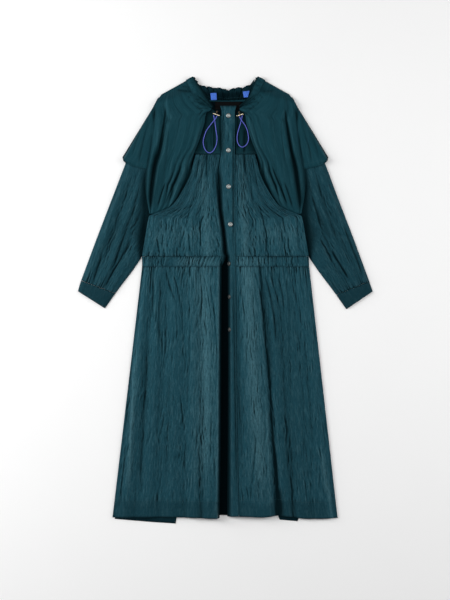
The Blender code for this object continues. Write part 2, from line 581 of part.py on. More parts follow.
def placket_surface(across, down):
    """The placket strip: foot, rim and right edge of each section, joined down the front."""
    table = np.array(PLACKET_SECTIONS)
    station = down * (len(table) - 1)
    columns = (np.interp(station, np.arange(len(table)), column) for column in table.T)
    y, left, rim, right, foot_top, rim_top, right_top = columns
    on_wall = across < PLACKET_WALL_SHARE
    wall = across / PLACKET_WALL_SHARE
    face = (across - PLACKET_WALL_SHARE) / (1 - PLACKET_WALL_SHARE)
    x = np.where(on_wall, left + (rim - left) * wall, rim + (right - rim) * face)
    z = np.where(on_wall, foot_top + (rim_top - foot_top) * wall, rim_top + (right_top - rim_top) * face)
    return x, y, z


def beside_placket(top, bottom, column, offset):
    """A line down one edge of the placket between two heights, moved sideways."""
    table = np.array(PLACKET_SECTIONS)[::-1]
    y = np.linspace(top, bottom, 2 * len(table))
    return list(zip(np.interp(y, table[:, Y_COLUMN], table[:, column]) + offset, y))


def make_bibs():
    """Both bibs, level along the yoke's seam; returns their sheets, for the casings below."""
    top, waist = YOKE_SEAM - SEAM / 2, WAIST_TOP + SEAM / 2
    left = Sheet(BIB_ARMHOLE, beside_placket(top, waist, LEFT, -3 * SEAM), BIB_FOLDS)
    right = Sheet(beside_placket(top, waist, RIGHT, SEAM), mirrored(BIB_ARMHOLE), BIB_FOLDS_RIGHT)
    for name, bib in (("bib_left", left), ("bib_right", right)):

        def level_at_seam(across, down, bib=bib):
            x, y, z = bib(across, down)
            return x, y, BIB_SEAM_TOP + (z - BIB_SEAM_TOP) * ease(down / BIB_SEAM_SHARE)

        cloth(name, 2 * (len(bib.folds) - 1), BIB_ROWS, level_at_seam, CRINKLED)
    return left, right


def make_skirts():
    """Both front skirts; returns their sheets, for the casings above."""
    inner = beside_placket(WAIST_BOTTOM - SEAM / 2, FRONT_HEM, RIGHT, SEAM)
    left = Sheet(SKIRT_SIDE, SKIRT_FRONT_FOLD, SKIRT_FOLDS, bottom=FRONT_HEM_LEFT)
    right = Sheet(inner, SKIRT_SIDE_RIGHT, SKIRT_FOLDS_RIGHT, bottom=[inner[-1]] + FRONT_HEM_RIGHT)
    for name, skirt in (("skirt_left", left), ("skirt_right", right)):
        cloth(name, 2 * (len(skirt.folds) - 1), SKIRT_ROWS, skirt, CRINKLED)
    return left, right


def make_casing(name, above, below, phase):
    """A waist casing between the lower edge of a bib and the upper edge of a skirt."""
    across = np.linspace(0.0, 1.0, 200)
    upper = above(across, np.ones_like(across))
    lower = below(across, np.zeros_like(across))

    def casing(fraction, down):
        left = upper[0][0] * (1 - down) + lower[0][0] * down
        right = upper[0][-1] * (1 - down) + lower[0][-1] * down
        x = left + (right - left) * fraction
        y = (WAIST_TOP - SEAM / 2) * (1 - down) + (WAIST_BOTTOM + SEAM / 2) * down
        rise = np.interp(x, upper[0], upper[2]) * (1 - down) + np.interp(x, lower[0], lower[2]) * down
        gathers = CASING_GATHER * np.cos(2 * np.pi * x / CASING_PITCH + phase)
        inside = ease(np.minimum(fraction, 1 - fraction) / CASING_CALM_SHARE)
        return x, y, rise + CASING_LIFT + gathers * inside

    cloth(name, *CASING_GRID, casing, CRINKLED)


def make_body():
    """Yokes, bibs, waist casings, skirts and the placket between them."""
    cloth("placket", PLACKET_COLUMNS, 2 * (len(PLACKET_SECTIONS) - 1), placket_surface, CRINKLED)
    flat_piece("placket_under", PLACKET_UNDER_OUTLINE, FIRST_TOP + GAP, SECOND_TOP, SHADED)
    cloth("yoke_left", *YOKE_GRID, Sheet(YOKE_OUTER, YOKE_NECK, YOKE_FOLDS), SMOOTH)
    cloth("yoke_right", *YOKE_GRID, Sheet(YOKE_NECK_RIGHT, mirrored(YOKE_OUTER), YOKE_FOLDS), SMOOTH)
    for side, bib, skirt, phase in zip(("left", "right"), make_bibs(), make_skirts(), CASING_PHASES):
        make_casing(f"waist_casing_{side}", bib, skirt, phase)


def under_bib(x, y):
    """How high the drape may reach: low under the bib, climbing with distance from its edge."""
    edge = trace(BIB_ARMHOLE, np.linspace(0.0, 1.0, 160))
    along = np.gradient(edge, axis=0)
    offset = np.column_stack((x, y))[:, None, :] - edge[None, :, :]
    nearest = np.argmin(np.sum(offset**2, axis=2), axis=1)
    row = np.arange(len(x))
    offset, along = offset[row, nearest], along[nearest]
    outside = np.sign(along[:, 1] * offset[:, 0] - along[:, 0] * offset[:, 1])
    distance = np.linalg.norm(offset, axis=1) * outside
    limit = TUCKED_TOP + TUCK_CLIMB * np.maximum(0.0, distance - TUCK_MARGIN)
    return limit + RELEASE_RISE * ease((y - (YOKE_SEAM - RELEASE_DROP)) / RELEASE_SPAN)


def make_cape():
    """The cape's front drapes and the short sleeves over the long ones."""
    cover = Sheet(OVERSLEEVE_FOLD, OVERSLEEVE_TUCK, OVERSLEEVE_FOLDS, bottom=OVERSLEEVE_HEM)
    for name, mirror, folds in (("left", False, CAPE_FOLDS), ("right", True, CAPE_FOLDS_RIGHT)):
        drape = Sheet(SHOULDER_SEAM, CAPE_FRONT_EDGE, folds, CAPE_STATIONS, top=CAPE_SHOULDER)

        def drape_surface(across, down, drape=drape, mirror=mirror):
            x, y, z = drape(1 - across if mirror else across, down)
            climbing = SHOULDER_TOP + (z - SHOULDER_TOP) * ease(down / SHOULDER_SHARE)
            return (2 * MIDLINE - x if mirror else x), y, np.minimum(climbing, under_bib(x, y))

        def cover_surface(across, down, mirror=mirror):
            x, y, z = cover(1 - across if mirror else across, down)
            return (2 * MIDLINE - x if mirror else x), y, z

        cloth(f"cape_front_{name}", 2 * (len(folds) - 1), DRAPE_ROWS, drape_surface, SMOOTH)
        cloth(f"cape_sleeve_{name}", 2 * (len(OVERSLEEVE_FOLDS) - 1), OVERSLEEVE_ROWS, cover_surface, SMOOTH)


def make_neck():
    """Gathered neck casing, the bare patch behind it and two folded tape tabs."""

    def back_casing(across, down):
        top, seam = trace(BACK_CASING_EDGE, across), trace(BACK_CASING_SEAM, across)
        wave = np.cos(2 * np.pi * BACK_GATHERS * across)
        x = top[:, 0] * (1 - down) + seam[:, 0] * down
        y = top[:, 1] * (1 - down) + seam[:, 1] * down + BACK_SCALLOP * wave * (1 - down)
        return x, y, BACK_CASING_TOP + BACK_GATHER * wave * (1 - 0.5 * down)

    cloth("neck_casing_back", 3 * BACK_GATHERS, 2, back_casing, SHADED)
    for name, inner, outer in (
        ("left", NECK_EDGE, CASING_EDGE),
        ("right", NECK_EDGE_RIGHT, CASING_EDGE_RIGHT),
    ):
        mirror = name == "right"

        def front_casing(across, down, inner=inner, outer=outer, mirror=mirror):
            spread = across if mirror else 1 - across
            inner_line, outer_line = trace(inner, down), trace(outer, down)
            point = inner_line * (1 - spread[:, None]) + outer_line * spread[:, None]
            rise = FRONT_CASING_TOP + FRONT_CASING_RISE * spread + FRONT_CASING_ARCH * np.sin(np.pi * spread)
            return point[:, 0], point[:, 1], rise + FRONT_GATHER * np.cos(2 * np.pi * FRONT_GATHERS * down)

        cloth(f"neck_casing_{name}", 3, 3 * FRONT_GATHERS, front_casing, SMOOTH)
    patch_bottom = SECOND_TOP + GAP
    flat_piece("neck_patch", PATCH_OUTLINE, patch_bottom, patch_bottom + PATCH_THICKNESS, BLACK_TAPE)
    flat_piece("tape_left", TAPE_OUTLINE, *TAPE_HEIGHTS, BLUE_TAPE)
    flat_piece("tape_right", TAPE_OUTLINE_RIGHT, *TAPE_HEIGHTS, BLUE_TAPE)


def turned(name, profile, finish):
    """A turned piece: its profile of (radius, height) spun round the vertical."""
    mesh = bpy.data.meshes.new(name)
    points = [(radius * MM, 0.0, height * MM) for radius, height in profile]
    mesh.from_pydata(points, [(k, k + 1) for k in range(len(points) - 1)], [])
    obj = add_object(name, mesh, finish)
    spin = obj.modifiers.new("Spin", "SCREW")
    spin.steps = SNAP_SIDES
    spin.render_steps = SNAP_SIDES
    spin.use_merge_vertices = True
    spin.merge_threshold = JOIN
    return obj


def make_snaps():
    """Seven press snaps: four face up, three edge on where the placket turns into the fold."""
    table = np.array(PLACKET_SECTIONS)[::-1]

    def section(y, *columns):
        return [np.interp(y, table[:, Y_COLUMN], table[:, column]) for column in columns]

    for number, (x, y) in enumerate(FLAT_SNAPS, 1):
        snap = turned(f"snap_{number}", SNAP_PROFILE, SNAP_METAL)
        snap.location = (x * MM, y * MM, (max(section(y, RIM_TOP, RIGHT_TOP)) + GAP) * MM)
    for number, y in enumerate(WALL_SNAPS, len(FLAT_SNAPS) + 1):
        left, rim, foot_top, rim_top = section(y, LEFT, RIM, FOOT_TOP, RIM_TOP)
        slope = Vector((rim - left, 0.0, rim_top - foot_top)).normalized()
        outward = Vector((-slope.z, 0.0, slope.x))
        middle = Vector(((left + rim) / 2, y, (foot_top + rim_top) / 2)) + slope * WALL_SNAP_LIFT
        snap = turned(f"snap_{number}", SNAP_PROFILE, SNAP_METAL)
        turn = Vector((0.0, 0.0, 1.0)).rotation_difference(outward).to_matrix().to_4x4()
        snap.matrix_world = Matrix.Translation((middle + outward * GAP) * MM) @ turn


def rod(name, start, end, radius, finish, sides):
    """A round bar between two points."""
    start, end = Vector(start), Vector(end)
    span = end - start
    bpy.ops.mesh.primitive_cylinder_add(vertices=sides, radius=radius * MM, depth=span.length * MM)
    obj = bpy.context.object
    obj.name = name
    obj.data.name = name
    for owner in list(obj.users_collection):
        owner.objects.unlink(obj)
    coat.objects.link(obj)
    obj.data.materials.append(finish_material(name, finish))
    turn = Vector((0.0, 0.0, 1.0)).rotation_difference(span).to_matrix().to_4x4()
    obj.matrix_world = Matrix.Translation((start + end) / 2 * MM) @ turn
    return obj


def make_drawcords():
    """A cord lock and a free loop of cord on each side of the neck."""
    bar_height = YOKE_TOP + GAP + LOCK_BAR_RADIUS
    spring_height = YOKE_TOP + GAP + LOCK_SPRING_RADIUS
    for name, (start, end), route in (("left", LOCK_LEFT, LEFT_CORD), ("right", LOCK_RIGHT, RIGHT_CORD)):
        first, last = Vector((*start, bar_height)), Vector((*end, bar_height))
        along = (last - first).normalized()
        up_coat = Vector((-along.y, along.x, 0.0))
        middle = (first + last) / 2
        half = along * LOCK_BAR_LENGTH / 2
        rod(f"lock_bar_{name}", middle - half, middle + half, LOCK_BAR_RADIUS, BAR_METAL, LOCK_BAR_SIDES)
        base = middle + up_coat * (LOCK_BAR_RADIUS + GAP)
        base.z = spring_height
        tip = base + up_coat * LOCK_SPRING_LENGTH
        rod(f"lock_spring_{name}", base, tip, LOCK_SPRING_RADIUS, SPRING_METAL, LOCK_SPRING_SIDES)
        line = np.asarray(route, float)
        length = np.linalg.norm(np.diff(line, axis=0), axis=1).sum()
        count = int(length / CORD_STEP) + 1
        points = trace(line, np.linspace(0.0, 1.0, count))
        curve = bpy.data.curves.new(f"drawcord_{name}", "CURVE")
        curve.dimensions = "3D"
        curve.bevel_depth = CORD_DIAMETER / 2 * MM
        curve.bevel_resolution = CORD_BEVEL
        curve.use_fill_caps = True
        spline = curve.splines.new("POLY")
        spline.points.add(count - 1)
        for point, place in zip(spline.points, points):
            point.co = (*(place * MM), 1.0)
        add_object(f"drawcord_{name}", curve, BLUE_CORD)


for leftover in list(bpy.data.objects):
    bpy.data.objects.remove(leftover)
coat = bpy.data.collections.new("overcoat")
bpy.context.scene.collection.children.link(coat)
make_backs()
make_sleeves()
make_body()
make_cape()
make_neck()
make_snaps()
make_drawcords()
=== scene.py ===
"""The look of a long overcoat with a shoulder cape, laid flat and buttoned up.

The coat lies on its back: +X runs across it, +Y up to the neck, +Z out of its front. Tables
are in millimetres. Every cloth piece is a surface of two numbers, how far across it and how
far down it, worked out on a whole grid at once and given its wall by Solidify.
"""

import logging
import math
from dataclasses import dataclass
from enum import Enum
from typing import Any, Callable

import bmesh
import bpy
import numpy as np
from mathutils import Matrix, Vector


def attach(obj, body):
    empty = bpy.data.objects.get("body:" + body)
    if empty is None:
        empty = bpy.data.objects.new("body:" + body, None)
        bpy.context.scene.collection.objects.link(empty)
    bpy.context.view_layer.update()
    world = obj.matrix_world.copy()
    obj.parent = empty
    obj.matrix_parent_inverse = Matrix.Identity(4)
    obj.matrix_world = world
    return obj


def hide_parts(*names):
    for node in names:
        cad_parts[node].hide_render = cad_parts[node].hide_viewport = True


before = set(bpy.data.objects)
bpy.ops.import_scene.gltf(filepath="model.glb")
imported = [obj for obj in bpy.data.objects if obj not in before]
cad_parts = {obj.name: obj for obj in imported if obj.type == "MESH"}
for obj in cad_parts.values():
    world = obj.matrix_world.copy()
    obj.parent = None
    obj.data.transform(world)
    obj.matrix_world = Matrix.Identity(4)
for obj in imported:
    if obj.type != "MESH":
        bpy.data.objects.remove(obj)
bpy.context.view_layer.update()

log = logging.getLogger("overcoat")

Array = np.ndarray
Path = tuple[tuple[float, ...], ...]
Places = tuple[Array, Array, Array]     # x, y and height, unless a docstring says otherwise
Surface = Callable[[Array, Array], Places]
# Painted shade that a piece adds to its cloth, and painted light where it is negative.
AddedShade = Callable[[Array, Array], Array]
Pair = tuple[float, float]
Triple = tuple[float, float, float]
Material = bpy.types.Material
Object = bpy.types.Object
Socket = bpy.types.NodeSocket

MM = 0.001
UV_SIZE = 100.0         # millimetres of cloth in one unit of a UV map
NOISE_KNOTS = 256       # random numbers along each side of a lattice
LINE_STEPS = 28         # straight steps that stand for a smooth line
CAVITY_DEPTH = 6.0      # a trough this deep is fully shaded
FINE_DEPTH = 1.1        # and so is a crease between two puffs this deep
FINE_REACH = 3          # columns on each side of a fine crease
FINE_SHADE = 1.05       # the shade of such a crease
LIT_SHADE = 1.1         # and how much more of it there is where the cloth is lit
BROAD_CREST = 0.25      # the light on a ridge as high as CAVITY_DEPTH
FINE_CREST = 0.42       # and on a puff as high as FINE_DEPTH
YOKE_SHADE = 0.30       # the painted shade all over the yokes
CAPE_SHADOW = 0.67      # and how much more painted shade lies on them right beside the cape
CAPE_SHADOW_REACH = 17.0

STITCH_THREAD = "stitch_thread"
STUDIO_FLOOR = "studio_floor"

# Main lines of the coat
MIDLINE = -1
YOKE_SEAM = 407.5
WAIST_TOP = 121.5
WAIST_BOTTOM = 93
SNAPS_LIT = 155.5       # above this the snaps are fully lit
SNAPS_DIM = 122         # and below this they lie in the fold's shade
CAPE_BACK_HEM = 329.5
REST_DROP = 112.0       # the layers over the cape's back come down to the floor this far below
REST_MARGIN = 67.0      # its hem, over all of that length but this
FIRST_TOP = 1.5         # the top of the lowest layer of cloth
SECOND_TOP = 3.4        # the top of the layer that lies on it
LAYER = 1.9             # how much the cape's back lifts what lies on it
YOKE_TOP = 7.4          # the top of the yokes
SEAM = 0.6              # the gap between two pieces that are sewn together


class Side(Enum):
    """Which half of the coat, as it is seen from the front."""

    LEFT = "left"
    RIGHT = "right"

    def __str__(self) -> str:
        """The half's word in the names of its pieces."""
        return self.value

    def pick(self, left: Any, right: Any) -> Any:
        """The first on the left half, the second on the right half."""
        return left if self is Side.LEFT else right


# ---- lines, noise and relief


def stack(*parts: Array) -> Array:
    """The parts side by side, in a last axis of their own."""
    return np.stack(parts, axis=-1)


def fractions(count: int) -> Array:
    """Even steps from 0 to 1."""
    return np.linspace(0.0, 1.0, count)


def ease(value: Array) -> Array:
    """A smooth step: 0 below 0, 1 above 1, and 3 v^2 - 2 v^3 between."""
    value = np.clip(value, 0.0, 1.0)
    return value * value * (3 - 2 * value)


def quarter(value: Array, share: float = 1.0) -> Array:
    """A quarter circle's height at a fraction of its run; a share below 1 starts it above 0."""
    return np.sqrt(1 - (1 - np.clip(value, 0.0, 1.0)) ** 2 * share)


def trace(points: Path | Array, along: Array) -> Array:
    """Places on a smooth line: cubic pieces through the points, with shared slopes.

    Args:
        points: what the line passes through.
        along: fractions of the way from its first point to its last.

    Returns:
        One place for each fraction, in the last axis.
    """
    line = np.asarray(points, float)
    knots = np.concatenate(([0.0], np.cumsum(np.linalg.norm(np.diff(line, axis=0), axis=1))))
    knots = knots / knots[-1]
    slopes = np.gradient(line, knots, axis=0)
    along = np.clip(np.asarray(along, float), 0.0, 1.0)
    index = np.clip(np.searchsorted(knots, along, side="right") - 1, 0, len(knots) - 2)
    width = knots[index + 1] - knots[index]
    t = ((along - knots[index]) / width)[..., None]
    width = width[..., None]
    return (
        (2 * t**3 - 3 * t**2 + 1) * line[index]
        + (t**3 - 2 * t**2 + t) * width * slopes[index]
        + (3 * t**2 - 2 * t**3) * line[index + 1]
        + (t**3 - t**2) * width * slopes[index + 1]
    )


def straight(points: Path, along: Array) -> Array:
    """Places on straight steps between the points, at fractions of their number."""
    line = np.asarray(points, float)
    knots = fractions(len(line))
    return stack(*(np.interp(along, knots, line[:, k]) for k in range(line.shape[1])))


def mirrored(points: Path) -> Path:
    """The same line on the other half of the coat."""
    return tuple((2 * MIDLINE - point[0], *point[1:]) for point in points)


def nearest(path: Path, x: Array, y: Array) -> Places:
    """Where places lie beside a line, by the closest of its straight steps.

    Args:
        path: the line's points.
        x: places across.
        y: places up the coat.

    Returns:
        The distance to the line, the fraction along it, and the side, which is 1 on the
        left of its direction and -1 on the right.
    """
    line = trace(path, fractions(LINE_STEPS))
    step = np.diff(line, axis=0)
    away = stack(x, y)[..., None, :] - line[:-1]
    part = np.clip(np.sum(away * step, axis=-1) / np.sum(step * step, axis=-1), 0.0, 1.0)
    away = away - part[..., None] * step
    gap = np.linalg.norm(away, axis=-1)
    best = np.argmin(gap, axis=-1)[..., None]
    cross = step[:, 0] * away[..., 1] - step[:, 1] * away[..., 0]

    def pick(values: Array) -> Array:
        """Each place's value at its closest step."""
        return np.take_along_axis(values, best, axis=-1)[..., 0]

    return pick(gap), (best[..., 0] + pick(part)) / (LINE_STEPS - 1), np.sign(pick(cross))


def lattice_noise(u: Array, v: Array, seed: int) -> Array:
    """Random numbers on a square lattice, eased from knot to knot: 0 to 1, one knot a unit."""
    table = np.random.default_rng(seed).random((NOISE_KNOTS, NOISE_KNOTS))
    column, row = np.floor(u).astype(int), np.floor(v).astype(int)
    s, t = ease(u - column), ease(v - row)
    left, right = column % NOISE_KNOTS, (column + 1) % NOISE_KNOTS
    above, below = row % NOISE_KNOTS, (row + 1) % NOISE_KNOTS
    upper = table[above, left] * (1 - s) + table[above, right] * s
    lower = table[below, left] * (1 - s) + table[below, right] * s
    return upper * (1 - t) + lower * t


@dataclass(frozen=True)
class Crinkle:
    """Standing creases that run down a crinkled cloth."""

    height: float
    pitch: float
    run: float
    seed: int

    def relief(self, u: Array, v: Array) -> Array:
        """Puffs parted by sharp valleys: 1 - |2 n - 1| of a noise drawn out down the cloth.

        Its columns sway from side to side, creases of half the size ride on them, and calm
        patches fade both.

        Args:
            u: millimetres of cloth across.
            v: millimetres of cloth down.

        Returns:
            Heights in millimetres about a mean of nought.
        """
        sway = 1.5 * lattice_noise(u / (5 * self.pitch), v / (0.9 * self.run), self.seed)
        lean = 0.5 * lattice_noise(u / (2.2 * self.pitch), v / (0.4 * self.run), self.seed + 4)
        main = lattice_noise(u / self.pitch + sway + lean, v / self.run + sway, self.seed + 1)
        across = u / (0.47 * self.pitch) + 2 * sway + lean
        small = lattice_noise(across, v / (0.45 * self.run), self.seed + 2)
        calm = lattice_noise(u / (7 * self.pitch), v / (1.3 * self.run), self.seed + 3)
        calm = ease(1.5 * calm - 0.2)
        shape = 0.68 * (1 - np.abs(2 * main - 1)) + 0.32 * (1 - np.abs(2 * small - 1)) - 0.62
        return self.height * shape * (0.4 + 0.6 * calm)


Crinkles = tuple[Crinkle, ...]


@dataclass(frozen=True)
class Crease:
    """One soft trough, or a ridge where its depth and shade are negative."""

    path: Path
    width: float
    depth: float
    shade: float
    taper: float = 0.25

    def apply(self, x: Array, y: Array) -> tuple[Array, Array]:
        """Depth times exp(-(distance / width)^1.6), fading towards both ends of its line.

        Args:
            x: places across.
            y: places up the coat.

        Returns:
            What to add to the height, and the painted shade it lays on the cloth, from -1 for
            painted light to 1.
        """
        gap, along, _ = nearest(self.path, x, y)
        fade = ease(np.minimum(along, 1 - along) / self.taper)
        profile = np.exp(-((gap / self.width) ** 1.6)) * fade
        return -self.depth * profile, self.shade * profile


Creases = tuple[Crease, ...]


@dataclass(frozen=True)
class Gathers:
    """Short ruches that fan out from a gathered seam."""

    height: float
    pitch: float
    reach: float
    seed: int
    uneven: float = 0.8

    def relief(self, u: Array, distance: Array) -> Array:
        """Height times a ridged noise across, which dies away as exp(-distance / reach)."""
        row = np.zeros_like(u) + 0.5
        slow = lattice_noise(u / (6 * self.pitch), row, self.seed)
        lengths = 0.35 + 1.3 * lattice_noise(u / (1.3 * self.pitch), row, self.seed + 1)
        wave = lattice_noise(u / self.pitch + slow, distance / (4 * self.reach), self.seed + 2)
        amount = 1 - self.uneven + self.uneven * ease(2 * slow - 0.3)
        dying = np.exp(-distance / (self.reach * lengths))
        return self.height * (1 - 2 * np.abs(2 * wave - 1)) * amount * dying


# ---- folded sheets


@dataclass(frozen=True)
class Fold:
    """A fold of a sheet: what fraction across it lies at each station, and how high."""

    across: tuple[float, ...]
    rise: tuple[float, ...]


Folds = tuple[Fold, ...]


def folded(*rows: tuple[float, ...]) -> Folds:
    """Folds from a table: a fraction across at each station, then a height at each.

    A row of two numbers is a fold that stays the same at all three stations.
    """
    full = [(row[0],) * 3 + (row[1],) * 3 if len(row) == 2 else row for row in rows]
    return tuple(Fold(row[: len(row) // 2], row[len(row) // 2 :]) for row in full)


@dataclass(frozen=True)
class FoldedSheet:
    """A sheet spread between a left and a right edge, lifted along its folds."""

    left: Path
    right: Path
    folds: Folds
    stations: tuple[float, ...] = (0.0, 0.5, 1.0)
    top: Path | None = None
    bottom: Path | None = None

    def rise(self, across: Array, down: Array) -> Array:
        """The folds' height, eased from each fold to the next one across.

        The place in the table is the sum, over its gaps, of how much of each gap is passed.
        """
        places = [np.interp(down, self.stations, fold.across) for fold in self.folds]
        rises = np.array([np.interp(down, self.stations, fold.rise) for fold in self.folds])
        gaps = zip(places[:-1], places[1:])
        position = sum(np.clip((across - first) / (last - first), 0.0, 1.0) for first, last in gaps)
        index = np.clip(position.astype(int), 0, len(self.folds) - 2)[None]
        blend = ease(position - index[0])
        first = np.take_along_axis(rises, index, 0)[0]
        last = np.take_along_axis(rises, index + 1, 0)[0]
        return first * (1 - blend) + last * blend

    def place(self, across: Array, down: Array) -> Array:
        """The straight line from edge to edge, plus the bow of the top and bottom edges."""
        share = across[..., None]
        point = trace(self.left, down) * (1 - share) + trace(self.right, down) * share
        for edge, weight in ((self.top, 1 - down), (self.bottom, down)):
            if edge is not None:
                straight = np.asarray(edge[0]) * (1 - share) + np.asarray(edge[-1]) * share
                point = point + (trace(edge, across) - straight) * weight[..., None]
        return point

    def __call__(self, across: Array, down: Array) -> Places:
        """x, y and height at the fractions across and down."""
        point = self.place(across, down)
        return point[..., 0], point[..., 1], self.rise(across, down)


def drawn_to(sheet: Surface, top: float, share: float) -> Surface:
    """A sheet drawn to one height at its upper edge, over a share of its length."""

    def drawn(across: Array, down: Array) -> Places:
        """The sheet, at that height where it starts."""
        x, y, z = sheet(across, down)
        return x, y, top + (z - top) * ease(down / share)

    return drawn


def corners(rows: int, columns: int, closed: bool) -> list[tuple[Array, Array]]:
    """Row and column of each face's four corners on a grid, closed round its columns or not."""
    faces = np.arange(columns if closed else columns - 1)
    row, column = np.meshgrid(np.arange(rows - 1), faces, indexing="ij")
    return [(row, column), (row + 1, column), (row + 1, column + 1), (row, column + 1)]


def join(rows: int, columns: int, closed: bool = True) -> Array:
    """The four point numbers of each face of a grid."""
    places = corners(rows, columns, closed)
    return stack(*(r * columns + c % columns for r, c in places)).reshape(-1, 4)


def put(name: str, data: bpy.types.ID) -> Object:
    """A new object with that data, at the origin of the scene."""
    obj = bpy.data.objects.new(name, data)
    bpy.context.scene.collection.objects.link(obj)
    return obj


def add_mesh(name: str, points: Array, faces: list, material: Material,
             places: Array | None = None) -> Object:
    """A smooth mesh in the scene.

    Args:
        name: the object's name.
        points: places in millimetres.
        faces: the point numbers of each face.
        material: its finish.
        places: millimetres of cloth across and down at each face's corners.

    Returns:
        The new object, at the origin.
    """
    mesh = bpy.data.meshes.new(name)
    mesh.from_pydata((points.reshape(-1, 3) * MM).tolist(), [], faces)
    if places is not None:
        layer = mesh.uv_layers.new(name="cloth")
        layer.data.foreach_set("uv", (places / UV_SIZE).astype(np.float32).reshape(-1))
    mesh.shade_smooth()
    mesh.materials.append(material)
    return put(name, mesh)


def close_up(piece: Object) -> Object:
    """Merge the points where a turned piece meets its axis, and face it outwards."""
    edit = bmesh.new()
    edit.from_mesh(piece.data)
    bmesh.ops.remove_doubles(edit, verts=edit.verts, dist=1e-7)
    bmesh.ops.recalc_face_normals(edit, faces=edit.faces)
    edit.to_mesh(piece.data)
    edit.free()
    return piece


@dataclass
class Cloth:
    """A finished grid of cloth: places in millimetres, and its shade, -1 lit to 1 dark."""

    x: Array
    y: Array
    z: Array
    u: Array
    v: Array
    shade: Array
    closed: bool = False

    def drop(self, reach: int) -> Array:
        """How far each place lies below the mean of its row within reach columns."""
        mode = "wrap" if self.closed else "edge"
        padded = np.pad(self.z, ((0, 0), (reach + 1, reach)), mode=mode)
        total = np.cumsum(padded, axis=1)
        width = 2 * reach + 1
        return (total[:, width:] - total[:, :-width]) / width - self.z

    def tones(self, reach: int) -> tuple[Array, Array]:
        """Painted shade in deep troughs and fine creases, and painted light on the ridges, 0 to 1
        each.
        """
        broad, fine = self.drop(reach), self.drop(FINE_REACH)
        dark, lit = np.clip(self.shade, 0.0, 1.0), np.clip(-self.shade, 0.0, 1.0)
        creased = (FINE_SHADE + LIT_SHADE * lit) * ease(fine / FINE_DEPTH)
        shade = dark + ease(broad / CAVITY_DEPTH) + creased
        ridges = BROAD_CREST * ease(-broad / CAVITY_DEPTH) + FINE_CREST * ease(-fine / FINE_DEPTH)
        crest_light = ridges + lit
        return np.clip(shade, 0.0, 1.0), np.clip(crest_light * (1 - dark), 0.0, 1.0)

    def build(self, name: str, material: Material, wall: float, reach: int = 0) -> Object:
        """Join the grid into quads and give it a wall on its underside or inside.

        Args:
            name: the object's name.
            material: its finish.
            wall: the cloth's thickness in millimetres.
            reach: columns on each side that count for the shade of a trough.

        Returns:
            The new object, at the origin.
        """
        rows, columns = self.x.shape
        points = stack(self.x, self.y, self.z)
        u, v = self.u, self.v
        if self.closed:
            u = np.concatenate((u, u[:, -1:] + (u[:, -1:] - u[:, -2:-1])), axis=1)
            v = np.concatenate((v, v[:, :1]), axis=1)
        at = corners(rows, columns, self.closed)
        places = np.stack([stack(u[r, c], v[r, c]) for r, c in at], axis=2)
        piece = add_mesh(name, points, join(rows, columns, self.closed).tolist(), material, places)
        shade, crest_light = np.maximum(self.shade, 0.0), np.maximum(-self.shade, 0.0)
        if reach:
            shade, crest_light = self.tones(reach)
        # The painted shade and painted light, kept at each point for the finish.
        for label, values in (("shade", shade), ("crest_light", crest_light)):
            attribute = piece.data.attributes.new(label, "FLOAT", "POINT")
            attribute.data.foreach_set("value", values.astype(np.float32).reshape(-1))
        thicken = piece.modifiers.new("Wall", "SOLIDIFY")
        thicken.thickness = wall * MM
        thicken.offset = -1.0
        return piece


def grid(columns: int, rows: int) -> tuple[Array, Array]:
    """Fractions across and down for a grid of that many columns and rows of points."""
    return np.meshgrid(fractions(columns), fractions(rows))


def crease_all(creases: Creases, x: Array, y: Array) -> tuple[Array, Array]:
    """The sum of the creases' heights, and their deepest shade plus their brightest light."""
    height, dark, lit = np.zeros_like(x), np.zeros_like(x), np.zeros_like(x)
    for crease in creases:
        more, shade = crease.apply(x, y)
        height, dark, lit = height + more, np.maximum(dark, shade), np.minimum(lit, shade)
    return height, dark + lit


def rest_level(y: Array) -> Array:
    """How high the body's back lies: on the cape's back above its hem, on the floor below."""
    return LAYER * ease((y - (CAPE_BACK_HEM - REST_DROP)) / (REST_DROP - REST_MARGIN))


def settle(piece: Object, slot: str, *nodes: str) -> Object:
    """Let a piece ride on the coat's one body and stand for the nodes that it covers."""
    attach(piece, "root")
    if nodes:
        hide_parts(*nodes)
    log.info("%s stands for %s", piece.name, ", ".join(nodes) or "no node of its own")
    return piece


# ---- finishes


